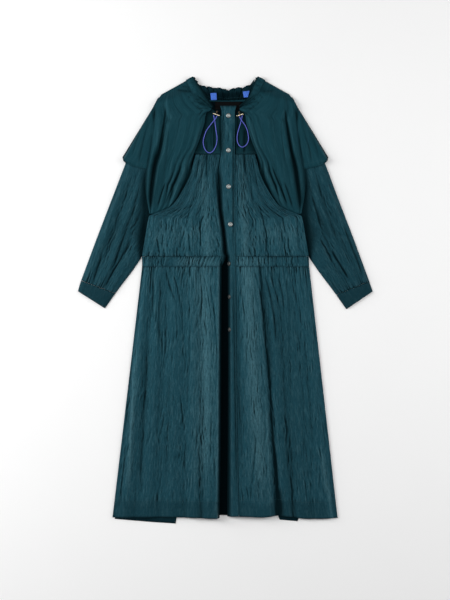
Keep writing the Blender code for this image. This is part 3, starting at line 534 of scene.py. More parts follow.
class Nodes:
    """A short way to write a material's nodes."""

    def __init__(self, name: str) -> None:
        """Start a material with one Principled shader."""
        self.material = bpy.data.materials.new(name)
        self.material.use_nodes = True
        self.tree = self.material.node_tree
        self.shader = self.tree.nodes["Principled BSDF"]

    def add(self, kind: str, inputs: dict | None = None, **settings) -> bpy.types.Node:
        """Add a node, set its properties, and fill or link its inputs.

        Args:
            kind: the node's type.
            inputs: a value or another node's output for each input, by name or number.
            settings: the node's properties.

        Returns:
            The new node.
        """
        node = self.tree.nodes.new(kind)
        for key, value in settings.items():
            setattr(node, key, value)
        for key, value in (inputs or {}).items():
            if isinstance(value, Socket):
                self.tree.links.new(value, node.inputs[key])
            else:
                node.inputs[key].default_value = value
        return node

    def cloth_map(self) -> Socket:
        """The piece's own UV map, in cloth millimetres over UV_SIZE."""
        return self.add("ShaderNodeUVMap", uv_map="cloth").outputs["UV"]

    def stretch(self, place: Socket, across: float, along: float, turn: float = 0.0) -> Socket:
        """The map divided by a size across and a size along, both in millimetres."""
        scale = (UV_SIZE / across, UV_SIZE / along, 1.0)
        inputs = {"Vector": place, "Scale": scale, "Rotation": (0.0, 0.0, turn)}
        return self.add("ShaderNodeMapping", inputs).outputs["Vector"]

    def noise(self, place: Socket, detail: float = 2.0, distortion: float = 0.0) -> Socket:
        """Noise with one cell a unit of the place it is given."""
        inputs = {"Vector": place, "Scale": 1.0, "Detail": detail, "Distortion": distortion}
        return self.add("ShaderNodeTexNoise", inputs).outputs["Fac"]

    def blend(self, amount: Any, first: Any, last: Any) -> Socket:
        """Two colours mixed by an amount."""
        inputs = {0: amount, 6: first, 7: last}
        return self.add("ShaderNodeMix", inputs, data_type="RGBA").outputs[2]

    def sums(self, operation: str, first: Any, second: Any = 0.0, third: Any = 0.0) -> Socket:
        """One step of arithmetic."""
        inputs = {0: first, 1: second, 2: third}
        return self.add("ShaderNodeMath", inputs, operation=operation).outputs[0]

    def spread(self, value: Socket, low: float, high: float, first: float = 0.0,
               last: float = 1.0) -> Socket:
        """Carry low to first and high to last, and stop there."""
        inputs = {0: value, 1: low, 2: high, 3: first, 4: last}
        return self.add("ShaderNodeMapRange", inputs).outputs[0]

    def kept(self, name: str) -> Socket:
        """A number that the mesh keeps at each point."""
        return self.add("ShaderNodeAttribute", attribute_name=name).outputs["Fac"]

    def wave(self, place: Socket, distortion: float, detail: float = 2.0, way: str = "X") -> Socket:
        """Soft bands one unit of the place apart."""
        inputs = {"Vector": place, "Scale": 1.0, "Distortion": distortion, "Detail": detail}
        return self.add("ShaderNodeTexWave", inputs, bands_direction=way).outputs["Fac"]

    def bump(self, height: Socket, distance: float, under: Socket | None = None) -> Socket:
        """A relief of that many millimetres on top of another one."""
        inputs = {"Height": height, "Distance": distance * MM, "Strength": 1.0}
        if under is not None:
            inputs["Normal"] = under
        return self.add("ShaderNodeBump", inputs).outputs["Normal"]

    def drive(self, name: str, source: Socket) -> None:
        """Link one of the shader's inputs."""
        self.tree.links.new(source, self.shader.inputs[name])

    def set(self, **values) -> None:
        """Set constants on the shader's own sockets, underscores standing for spaces."""
        for key, value in values.items():
            self.shader.inputs[key.replace("_", " ")].default_value = value


def rgba(colour: Triple) -> tuple[float, float, float, float]:
    """The colour with full opacity."""
    return (*colour, 1.0)


@dataclass(frozen=True)
class ClothFinish:
    """Thin nylon cloth: its colours, its gloss and the scale of its fine creases."""

    name: str
    deep: Triple
    mid: Triple
    light: Triple
    roughness: float
    sheen: float
    crinkle_across: float
    crinkle_along: float
    crinkle_depth: float
    gloss: float = 0.22
    weave: float = 0.9

    def make(self) -> Material:
        """Mix three tones by a long and a short noise and the ridges' painted light, paint shade
        into the troughs, and raise the creases.
        """
        nodes = Nodes(self.name)
        place = nodes.cloth_map()
        across, along = self.crinkle_across, self.crinkle_along
        streak = nodes.noise(nodes.stretch(place, across, along), 3.0, 0.6)
        fleck = nodes.noise(nodes.stretch(place, across * 0.4, along * 0.3), 2.0)
        cloud = nodes.noise(nodes.stretch(place, 60.0, 110.0), 2.0)
        # The crest attribute's painted light on the ridges, plus streaks of random tone, lifts the
        # tone towards the light colour.
        lift = nodes.sums("ADD", nodes.kept("crest_light"), nodes.spread(streak, 0.40, 0.64, -0.22, 0.30))
        tone = nodes.blend(lift, rgba(self.mid), rgba(self.light))
        tone = nodes.blend(nodes.spread(cloud, 0.3, 0.7, 0.0, 0.35), tone, rgba(self.mid))
        tone = nodes.blend(nodes.spread(fleck, 0.50, 0.72, 0.0, 0.65), tone, rgba(self.deep))
        shade = nodes.kept("shade")
        dark = nodes.sums("MULTIPLY", nodes.sums("POWER", shade, 0.8), 0.96)
        # Painted shade in troughs and creases mixes the tone towards this near-black colour.
        painted_shade_black = tuple(c * 0.08 for c in self.deep)
        nodes.drive("Base Color", nodes.blend(dark, tone, rgba(painted_shade_black)))
        gloss = nodes.spread(cloud, 0.3, 0.7, self.roughness - 0.05, self.roughness + 0.06)
        nodes.drive("Roughness", nodes.sums("MULTIPLY_ADD", shade, 0.35, gloss))
        threads = nodes.wave(nodes.stretch(place, self.weave, self.weave * 40), 0.4)
        crossing = nodes.wave(nodes.stretch(place, self.weave * 40, self.weave), 0.4, way="Y")
        relief = nodes.bump(streak, self.crinkle_depth)
        relief = nodes.bump(fleck, self.crinkle_depth * 0.35, relief)
        nodes.drive("Normal", nodes.bump(nodes.sums("ADD", threads, crossing), 0.03, relief))
        nodes.set(Sheen_Weight=self.sheen, Sheen_Roughness=0.4, Specular_IOR_Level=self.gloss)
        nodes.set(Sheen_Tint=rgba((0.35, 0.8, 0.95)), Specular_Tint=rgba((0.16, 0.74, 0.95)))
        return nodes.material


@dataclass(frozen=True)
class MetalFinish:
    """Bare metal with fine brushed lines and a little wear."""

    name: str
    bright: Triple
    worn: Triple
    roughness: float
    grain: float
    shade: float = 0.0

    def make(self) -> Material:
        """Mix two tones by fine noise on Object coordinates, with painted shade low on the coat."""
        nodes = Nodes(self.name)
        place = nodes.add("ShaderNodeTexCoord").outputs["Object"]
        size = (1 / (self.grain * MM),) * 3
        grains = nodes.add("ShaderNodeMapping", {"Vector": place, "Scale": size}).outputs["Vector"]
        wear = nodes.noise(grains, 4.0)
        tone = nodes.blend(wear, rgba(self.bright), rgba(self.worn))
        # Painted shade of the fold over the snaps that lie low on the coat.
        if self.shade:
            height = nodes.add("ShaderNodeSeparateXYZ", {"Vector": place}).outputs["Y"]
            low = nodes.spread(height, SNAPS_LIT * MM, SNAPS_DIM * MM)
            dim = nodes.sums("MULTIPLY", low, self.shade)
            tone = nodes.blend(dim, tone, rgba((0.0, 0.0, 0.0)))
        nodes.drive("Base Color", tone)
        gloss = nodes.spread(wear, 0.0, 1.0, self.roughness - 0.06, self.roughness + 0.12)
        nodes.drive("Roughness", gloss)
        nodes.drive("Normal", nodes.bump(wear, 0.02))
        nodes.set(Metallic=1.0)
        return nodes.material


@dataclass(frozen=True)
class RibFinish:
    """Tape, braid or satin: ribs across the piece's own map."""

    name: str
    colour: Triple
    edge: Triple
    rib_across: float
    rib_along: float
    depth: float
    roughness: float
    turn: float = 0.0

    def make(self) -> Material:
        """Two crossing waves, the darker tone between the ribs, raised by their sum."""
        nodes = Nodes(self.name)
        place = nodes.cloth_map()
        ribs = []
        for sign in (1, -1):
            turned = nodes.stretch(place, self.rib_across, self.rib_along, sign * self.turn)
            ribs.append(nodes.wave(turned, 0.3, 1.0))
        both = nodes.sums("MULTIPLY", ribs[0], ribs[1]) if self.turn else ribs[0]
        fuzz = nodes.noise(nodes.stretch(place, 0.8, 0.8), 3.0)
        tone = nodes.blend(both, rgba(self.edge), rgba(self.colour))
        speck = nodes.spread(fuzz, 0.5, 0.8, 0.0, 0.4)
        nodes.drive("Base Color", nodes.blend(speck, tone, rgba(self.edge)))
        nodes.drive("Normal", nodes.bump(both, self.depth, nodes.bump(fuzz, 0.05)))
        nodes.set(Roughness=self.roughness, Specular_IOR_Level=0.1)
        return nodes.material


@dataclass(frozen=True)
class FloorFinish:
    """A plain pale floor."""

    name: str
    colour: Triple

    def make(self) -> Material:
        """Almost white, with a faint mottle."""
        nodes = Nodes(self.name)
        place = nodes.add("ShaderNodeTexCoord").outputs["Object"]
        inputs = {"Vector": place, "Scale": 6.0, "Detail": 2.0}
        mottle = nodes.add("ShaderNodeTexNoise", inputs).outputs["Fac"]
        dim = tuple(c * 0.985 for c in self.colour)
        nodes.drive("Base Color", nodes.blend(mottle, rgba(self.colour), rgba(dim)))
        nodes.set(Roughness=0.9, Specular_IOR_Level=0.1)
        return nodes.material


FINISHES = (
    ClothFinish(
        "crinkled_nylon", (0.0025, 0.015, 0.024), (0.01, 0.044, 0.061), (0.048, 0.118, 0.144),
        0.46, 0.02, 4.0, 26.0, 1.5,
    ),
    ClothFinish(
        "smooth_nylon", (0.003, 0.02, 0.027), (0.0052, 0.029, 0.0395), (0.018, 0.06, 0.076),
        0.50, 0.02, 5.0, 60.0, 0.5,
    ),
    ClothFinish(
        "shaded_nylon", (0.002, 0.012, 0.018), (0.006, 0.026, 0.036), (0.014, 0.046, 0.06),
        0.60, 0.0, 4.5, 36.0, 0.6, gloss=0.06,
    ),
    RibFinish(STITCH_THREAD, (0.020, 0.066, 0.084), (0.008, 0.032, 0.042), 0.5, 0.5, 0.05, 0.6),
    RibFinish("black_tape", (0.0012, 0.0014, 0.002), (0.0006, 0.0006, 0.001), 0.8, 30.0, 0.05,
              0.85),
    RibFinish("blue_tape", (0.085, 0.230, 0.780), (0.030, 0.090, 0.420), 1.1, 30.0, 0.12, 0.5),
    RibFinish("blue_cord", (0.200, 0.250, 0.820), (0.090, 0.110, 0.500), 2.2, 2.2, 0.25, 0.6, 0.8),
    # The snaps' last number is how much painted shade of the fold darkens the lower ones.
    MetalFinish("snap_metal", (0.36, 0.39, 0.38), (0.18, 0.20, 0.20), 0.45, 0.7, 0.66),
    MetalFinish("bar_metal", (0.86, 0.78, 0.60), (0.60, 0.50, 0.33), 0.24, 0.6),
    MetalFinish("spring_metal", (0.16, 0.12, 0.08), (0.06, 0.045, 0.03), 0.34, 0.5),
    FloorFinish(STUDIO_FLOOR, (0.93, 0.93, 0.93)),
)


# ---- cloth panels and stitches


@dataclass(frozen=True)
class Panel:
    """One cut piece of cloth: its folded sheet, the creases in it and its cut size."""

    node: str
    sheet: Surface
    cut: Pair
    points: tuple[int, int]
    crinkles: Crinkles = ()
    creases: Creases = ()
    top_gathers: Gathers | None = None
    bottom_gathers: Gathers | None = None
    edge_fade: float = 8.0
    hem: float = 0.0
    hem_calm: float = 0.3
    wall: float = 0.8
    lower: float = 0.0
    reach: int = 12
    cap: Callable[[Array, Array, Array], Array] | None = None
    added_shade: AddedShade | None = None

    def cloth(self, across: Array, down: Array) -> Cloth:
        """The sheet's height, plus crinkles, gathers and creases, held under the cap.

        Crinkles fade towards both side edges and below the hem's sewing.
        """
        width, length = self.cut
        x, y, z = self.sheet(across, down)
        u, v = across * width, down * length
        from_edge = np.minimum(u, width - u)
        fade = 0.25 + 0.75 * ease(from_edge / self.edge_fade)
        if self.hem:
            fade = fade * (1 - (1 - self.hem_calm) * ease((v - (length - self.hem)) / 2.0 + 0.5))
        relief = sum((crinkle.relief(u, v) for crinkle in self.crinkles), np.zeros_like(x))
        if self.top_gathers:
            relief = relief + self.top_gathers.relief(u, v)
        if self.bottom_gathers:
            relief = relief + self.bottom_gathers.relief(u, length - v)
        height, shade = crease_all(self.creases, x, y)
        z = z + relief * fade + height - self.lower
        if self.cap is not None:
            z = self.cap(x, y, z)
        # The piece's painted shade, or painted light where it is negative, goes into its shade.
        if self.added_shade is not None:
            shade = np.clip(shade + self.added_shade(x, y), -1.0, 1.0)
        return Cloth(x, y, z, u, v, shade)

    def line(self, path: Path, steps: int = 300) -> Array:
        """Places on the finished surface along a line of (across, down) fractions."""
        way = trace(path, fractions(steps))
        laid = self.cloth(way[None, :, 0], way[None, :, 1])
        return stack(laid.x[0], laid.y[0], laid.z[0])


@dataclass(frozen=True)
class Sewing:
    """Rows of stitches: short capsules of thread that follow a surface."""

    length: float = 2.7
    pitch: float = 3.5
    radius: float = 0.3
    sides: int = 5
    lift: float = 0.1

    def capsule(self) -> tuple[Array, Array]:
        """One stitch along its own first axis: four rings, narrow at both ends.

        Returns:
            Its points, and the faces between its rings.
        """
        ends = np.repeat(np.array([-0.5, -0.32, 0.32, 0.5]) * self.length, self.sides)
        radii = np.repeat(np.array([0.4, 1.0, 1.0, 0.4]) * self.radius, self.sides)
        turn = np.tile(np.linspace(0.0, 2 * np.pi, self.sides, endpoint=False), 4)
        points = stack(ends, radii * np.cos(turn), radii * np.sin(turn))
        return points, join(4, self.sides)[:, [0, 3, 2, 1]]

    def sew(self, name: str, lines: list[Array], material: Material) -> Object:
        """Set one capsule every pitch along each line, its axis on the line's direction.

        Args:
            name: the row's name.
            lines: places on the cloth in millimetres.
            material: the thread's finish.

        Returns:
            One object with every stitch of the lines.
        """
        middles, directions = [], []
        for line in lines:
            step = np.linalg.norm(np.diff(line, axis=0), axis=1)
            run = np.concatenate(([0.0], np.cumsum(step)))
            stops = np.arange(self.pitch / 2, run[-1], self.pitch)
            slope = np.gradient(line, run + np.arange(len(run)) * 1e-9, axis=0)
            for kept, values in ((middles, line), (directions, slope)):
                kept.append(stack(*(np.interp(stops, run, values[:, k]) for k in range(3))))
        middle, along = np.concatenate(middles), np.concatenate(directions)
        along = along / np.linalg.norm(along, axis=1, keepdims=True)
        beside = np.cross(np.array([0.0, 0.0, 1.0]), along)
        beside = beside / np.maximum(np.linalg.norm(beside, axis=1, keepdims=True), 1e-6)
        up = np.cross(along, beside)
        points, quads = self.capsule()
        axes = np.stack((along, beside, up), axis=1)
        turned = np.einsum("pk,nkc->npc", points, axes)
        placed = middle[:, None, :] + turned + up[:, None, :] * self.lift
        size, ring = len(points), np.arange(self.sides)
        starts = (np.arange(len(middle)) * size)[:, None]
        sides = (quads[None] + starts[:, :, None]).reshape(-1, 4)
        first, last = ring[::-1][None] + starts, ring[None] + 3 * self.sides + starts
        corner = np.concatenate((sides.reshape(-1), first.reshape(-1), last.reshape(-1)))
        faces = sides.tolist() + first.tolist() + last.tolist()
        return add_mesh(name, placed, faces, material, points[corner % size][:, :2])


@dataclass
class Tailor:
    """Lays pieces of cloth, with the finishes by their names."""

    finishes: dict[str, Material]

    def lay(self, panel: Panel, slot: str, rests_on: list[str], area: float,
            rows: tuple[Path, ...] = (), thread: str = STITCH_THREAD) -> None:
        """Lay a panel out on its grid, and keep it with the lines of its sewing.

        Args:
            panel: the piece.
            slot: the name of its finish.
            rests_on: what it lies on.
            area: the share of its cut's rectangle that is cloth.
            rows: its lines of stitches, in fractions across and down.
            thread: the finish of its stitches.
        """
        cloth = panel.cloth(*grid(*panel.points))
        lines = [panel.line(row) for row in rows]
        build = (panel.wall, panel.reach)
        self.keep(cloth, panel.node, slot, build, panel.cut, rests_on, area, lines, thread)

    def keep(self, cloth: Cloth, node: str, slot: str, build: tuple[float, int], cut: Pair,
             rests_on: list[str], area: float, lines: list[Array],
             thread: str = STITCH_THREAD) -> None:
        """Args:
            cloth: its grid.
            node: the CAD node that it stands for.
            slot: the name of its finish.
            build: its wall, and the reach of the shade of its troughs.
            cut: how wide and how long the cloth of its cut is, in millimetres.
            rests_on: what it lies on; not used.
            area: the share of its cut's rectangle that is cloth; not used.
            lines: places along each row of stitches.
            thread: the finish of its stitches.
        """
        name = f"cloth_{node}"
        piece = settle(cloth.build(name, self.finishes[slot], *build), slot, node)
        if lines:
            stitches = Sewing().sew(f"{name}_stitches", lines, self.finishes[thread])
            settle(stitches, slot)
        width, length = (size * MM for size in cut)


def row_across(first: float, last: float, down: float) -> Path:
    """A row of stitches across a panel, from one fraction to another, at one fraction down."""
    return ((first, down), (0.5, down), (last, down))


def darkening(amount: float, start: float, reach: float, base: float = 0.0) -> AddedShade:
    """A shade that grows by an amount from a height on the coat, over a reach down from it."""

    def added_shade(x: Array, y: Array) -> Array:
        """The shade at each place."""
        return base + amount * ease((start - y) / reach)

    return added_shade


def even(shade: float) -> AddedShade:
    """The same shade all over a piece."""
    return darkening(0.0, 0.0, 1.0, shade)


# ---- edges shared by the pieces

BIB_ARMHOLE: Path = (
    (-83.5, 407), (-90.5, 382.5), (-97, 354.5), (-107.5, 330), (-122, 303.5), (-136, 281.5),
    (-152, 262), (-178, 249), (-203.5, 239), (-213.5, 234.5), (-216.5, 224), (-224.5, 178),
    (-234, 122),
)
# y, left edge, rim and right edge, and the height at each: top to bottom of the placket
PLACKET_SECTIONS = np.array((
    (543, -16, -10, 30, 9.4, 9.8, 9.8),
    (528, -11.5, -7.5, 25.5, 9.6, 10.2, 10.2),
    (419, -11.5, -6.5, 25, 10.0, 12.0, 12.0),
    (360, -21.5, -7.5, 25, 7.6, 13.4, 13.4),
    (253.5, -14.5, -5.5, 25.5, 6.4, 14.6, 14.6),
    (192, -4, 1.5, 26, 5.8, 16.0, 15.0),
    (133.5, 0.5, 9, 27, 5.6, 18.0, 16.0),
    (119.5, 5, 13.5, 27.5, 5.6, 19.0, 16.6),
    (83, 5.5, 14, 28, 5.6, 19.5, 17.0),
    (-113, 6.5, 15, 29, 5.6, 20.5, 18.0),
    (-393, 5.5, 16, 32.5, 5.6, 20.5, 18.5),
    (-605, 4, 17, 36.5, 5.6, 19.0, 17.5),
))
SECTION_LEFT, SECTION_RIM, SECTION_RIGHT, FOOT_TOP, RIM_TOP, RIGHT_TOP = range(1, 7)


def section(y: Array | float, column: int) -> Array:
    """One column of the placket's table at heights y."""
    table = PLACKET_SECTIONS[::-1]
    return np.interp(y, table[:, 0], table[:, column])


def beside_placket(top: float, bottom: float, column: int, offset: float) -> Path:
    """A line down one edge of the placket, moved sideways by a seam."""
    heights = np.linspace(top, bottom, 24)
    return tuple(zip(section(heights, column) + offset, heights))


def turned_over(sheet: FoldedSheet) -> FoldedSheet:
    """The same sheet on the other half of the coat, its left edge still on the left."""
    folds = tuple(Fold(tuple(1 - a for a in fold.across), fold.rise) for fold in sheet.folds[::-1])
    top = mirrored(sheet.top)[::-1] if sheet.top else None
    bottom = mirrored(sheet.bottom)[::-1] if sheet.bottom else None
    left, right = mirrored(sheet.right), mirrored(sheet.left)
    return FoldedSheet(left, right, folds, sheet.stations, top, bottom)


def crumple(*rows: tuple[float, ...]) -> Creases:
    """Creases from a table of rows: half width, depth and shade, then x and y of each point."""
    return tuple(Crease(tuple(zip(row[3::2], row[4::2])), *row[:3]) for row in rows)


CAPE_FRONT_EDGE: Path = (
    (-110, 614), (-93, 584), (-76.5, 560), (-60.5, 547), (-46.5, 539.5), (-40, 534),
    (-44, 528), (-52, 524), (-56.5, 514), (-58, 500), (-65.5, 472), (-76.5, 438.5),
    (-89, 407.5), (-95.5, 382.5), (-95, 357.5), (-98.5, 332), (-110, 304), (-125, 279),
    (-142, 256.5), (-177, 233),
)


def on_left(x: Array) -> Array:
    """Places across, with the right half turned over onto the left one."""
    return np.where(x > MIDLINE, 2 * MIDLINE - x, x)


def beside_cape(x: Array, y: Array) -> Array:
    """Shade that dies away from the cape's front edge, which stands over the yoke."""
    gap, _, side = nearest(CAPE_FRONT_EDGE, on_left(x), y)
    shadow = CAPE_SHADOW * np.exp(-((gap / CAPE_SHADOW_REACH) ** 1.5))
    return np.where(side > 0, YOKE_SHADE + shadow, YOKE_SHADE + CAPE_SHADOW)


# ---- the skirt


@dataclass
class Skirt(Tailor):
    """Front skirts, the skirt's back and the strip under the placket."""

    hem: float = -605.5
    hem_band: float = 46.0
    left_folds: Folds = folded(
        (0, 4),
        (0.065, 0.09, 0.105, 9, 11.5, 11),
        (0.14, 0.18, 0.21, 6, 6.5, 6.5),
        (0.23, 0.28, 0.33, 9.5, 10.5, 10),
        (0.32, 0.37, 0.425, 6.2, 6.4, 6.2),
        (0.43, 0.49, 0.55, 9.5, 11, 11.5),
        (0.545, 0.6, 0.66, 7, 7.8, 8),
        (0.65, 0.71, 0.765, 11.5, 13.5, 14.5),
        (0.74, 0.78, 0.82, 10, 11.5, 12),
        (0.86, 0.88, 0.91, 16.5, 20, 22),
        (0.955, 0.965, 0.972, 18, 22, 22.5),
        (1, 1, 1, 5.8, 5.6, 5.6),
    )
    right_folds: Folds = folded(
        (0, 0, 0, 15, 16.5, 16),
        (0.155, 0.165, 0.15, 19, 23, 23.5),
        (0.28, 0.33, 0.31, 16, 19.5, 20.5),
        (0.325, 0.385, 0.395, 11, 10.4, 6.4),
        (0.37, 0.43, 0.46, 13, 14, 15),
        (0.45, 0.47, 0.5, 13.6, 13.8, 14),
        (0.56, 0.555, 0.555, 9, 8.6, 8.4),
        (0.67, 0.66, 0.65, 12, 13.5, 14),
        (0.78, 0.765, 0.755, 8, 8.4, 8.6),
        (0.89, 0.88, 0.87, 10, 11.5, 11.5),
        (1, 4),
    )

    def front_left(self) -> FoldedSheet:
        """The left front, from the side seam to the fold beside the placket."""
        side = ((-234, 93), (-275, -256), (-317, -608.5))
        fold = ((-11.5, 93), (-12.5, -85), (-14, -365), (-17.5, -610.5))
        hem = ((-317, -608.5), (-238.5, -608), (-140.5, -607.5), (-70.5, -609.5), (-17.5, -610.5))
        return FoldedSheet(side, fold, self.left_folds, bottom=hem)

    def front_right(self) -> FoldedSheet:
        """The right front, from the placket to the side seam."""
        placket = beside_placket(WAIST_BOTTOM, self.hem, SECTION_RIGHT, SEAM)
        side = ((233.5, 93), (273, -256), (313, -610))
        hem = (placket[-1], (69.5, -605), (103, -606.5), (147, -603), (181.5, -606.5),
               (226, -611.5), (313, -610))
        return FoldedSheet(placket, side, self.right_folds, bottom=hem)

    def make_front(self, side: Side) -> None:
        """One front with its gathers under the waist and its sewn hem."""
        seed = side.pick(11, 57)
        panel = Panel(
            f"skirt_{side}", side.pick(self.front_left(), self.front_right()),
            (side.pick(286.0, 258.0), 703.0), (190, 150),
            (Crinkle(2.6, 8.0, 52.0, seed), Crinkle(1.1, 4.6, 24.0, seed + 20)),
            side.pick(LEFT_SKIRT_CREASES, RIGHT_SKIRT_CREASES),
            top_gathers=Gathers(2.2, 6.5, 34.0, side.pick(5, 9)), hem=self.hem_band, reach=10,
            added_shade=darkening(0.22, self.hem + self.hem_band + 3.0, 12.0),
        )
        hem_line = 1 - self.hem_band / panel.cut[1]
        self.lay(panel, "crinkled_nylon", ["skirt_back"], 0.92, (row_across(0.01, 0.99, hem_line),))

    def back_outline(self, across: Array, down: Array) -> Places:
        """A flat sheet from side seam to side seam whose hem has two flaps that reach lower."""
        left = straight(((-230.5, 107), (-311, -613)), down)
        right = straight(((228.5, 107), (309, -606.5)), down)
        x = left[..., 0] * (1 - across) + right[..., 0] * across
        hem = np.interp(
            x,
            (-310.5, -210.5, -139.5, -137.5, 146.5, 149, 202, 204.5, 309),
            (-613, -621.5, -626, -601.5, -603, -615, -619.5, -608.5, -606.5),
        )
        top = 108
        return x, top + (hem - top) * down, np.full_like(x, FIRST_TOP)

    def back_shade_and_light(self, x: Array, y: Array) -> Array:
        """Painted shade between the layers, and painted light on slivers of the hem that catch the
        light.
        """
        knots = (10.5, 19, 35.5, 44, 80.5, 89, 105.5, 114, 201, 209.5, 254, 268)
        sliver = np.interp(x, knots, (0, 1, 1, 0, 0, 0.8, 0.8, 0, 0, 1, 1, 0))
        low = ease((-599 - y) / 3.0)
        return 0.75 * (1 - low) - 0.7 * sliver * low

    def make_back(self) -> None:
        """The back, flat on the floor, and the strip that closes the front under the placket."""
        back = Panel(
            "skirt_back", self.back_outline, (560.0, 730.0), (150, 36),
            (Crinkle(0.35, 9.0, 60.0, 83),), edge_fade=4.0, reach=0, lower=0.25, wall=0.9,
            added_shade=self.back_shade_and_light, hem=self.hem_band,
        )
        hem_line = 1 - 14.0 / back.cut[1]
        self.lay(back, "shaded_nylon", [], 0.97, (row_across(0.01, 0.99, hem_line),))
        strip = FoldedSheet(
            ((-21, 125), (-21.5, -253), (-22.5, -602)), ((9.5, 125), (9.5, -253), (9.5, -602)),
            folded((0.0, SECOND_TOP), (0.5, SECOND_TOP + 0.5), (1.0, SECOND_TOP)),
        )
        under = Panel(
            "placket_under", strip, (31.0, 706.0), (14, 120), (Crinkle(0.5, 7.0, 40.0, 19),),
            # The whole strip is painted in full shade, the shadow deep in the fold.
            added_shade=even(1.0), reach=0,
        )
        self.lay(under, "shaded_nylon", ["skirt_back"], 1.0)


LEFT_SKIRT_CREASES = crumple(
    (6, 2.2, 0.3, -188.5, 88.5, -182.5, 27, -188.5, -51.5, -180, -141),
    (3.5, 1.6, 0.25, -168.5, 88.5, -157.5, 41, -135, -18),
    (3, 1.4, 0.25, -152, 85.5, -135, 32.5, -124, -34.5),
    (4, 1.4, 0.2, -208, 83, -202.5, 27, -210.5, -57),
    (4, 1.6, 0.25, -104.5, 88.5, -93, 49.5, -96, -1),
    (3, 1.2, 0.25, -51, 83, -37, -1, -26, -113, -23, -253),
    (2.5, 1, 0.2, -68, 88.5, -51, 21.5, -40, -62.5),
    (5, 1.2, 0.18, -98.5, -1, -101.5, -141, -110, -337),
    (7, 1.8, 0.22, -219, -85, -224.5, -253, -236, -449, -241.5, -575),
    (5, -1.6, 0, -258.5, -141, -261, -281, -269.5, -477),
    (8, 1.4, 0.15, -154.5, -169, -160.5, -337, -171.5, -561),
    (4, 1.3, 0.2, -278, -393, -289, -505, -300.5, -594.5),
    (28, 0, -0.72, -70.5, 239.5, -62.5, -1, -56.5, -169, -62.5, -365, -76.5, -594.5),
    (30, 0, -0.45, -98.5, 223, -79, 41, -59.5, -113),
    (8, -0.8, -0.5, -247, -85, -258.5, -281, -266.5, -421, -275, -603),
    (3.2, 0, 0.85, -12, 105.5, -13.5, -113, -16, -393, -18.5, -673),
)
RIGHT_SKIRT_CREASES = crumple(
    (7, 0.8, 0.5, 97.5, 105.5, 108.5, -12.5, 119.5, -118.5, 128, -281),
    (8, 0, 0.38, 34.5, 105.5, 35.5, -57, 38.5, -281, 44, -477),
    (4, 1.4, 0.5, 133.5, -393, 143, -488.5, 147, -594.5),
    (8, 0.6, 0.95, 146, -516.5, 151.5, -561, 154.5, -617),
    (2.6, 1.4, 0.3, 77.5, 88.5, 94.5, 27, 105.5, -57),
    (3.6, 1.8, 0.55, 103, 88.5, 119.5, 32.5, 133.5, -34.5, 142, -141),
    (3, 1.4, 0.25, 119.5, 88.5, 133.5, 41, 150.5, -18),
    (3.5, 1.4, 0.2, 139.5, 83, 156, 27, 164.5, -57),
    (7, 1.8, 0.22, 167.5, 88.5, 175.5, -1, 178.5, -141, 184, -337),
    (4, -1.3, 0, 195.5, 83, 209.5, -1, 223.5, -141),
    (6, 1.4, 0.16, 217.5, -85, 231.5, -253, 245.5, -449),
    (4, 1, 0.12, 58, -1, 58, -141, 52.5, -281),
    (4, -1, 0, 41.5, -337, 58, -449, 75, -561),
    (3, 1, 0.15, 86, -365, 77.5, -463, 66.5, -575),
    (4, -1.4, 0, 271, -393, 287.5, -505, 299, -600.5),
    (23, 0, -0.85, 61, 265, 65, -1, 77.5, -197, 91.5, -365, 103, -645),
    (7, -0.6, -0.8, 259.5, -393, 287.5, -547, 315.5, -729),
    (22, 0, 0.2, 147.5, 105.5, 164.5, -85, 175.5, -309, 189.5, -645),
)


# ---- the bodice


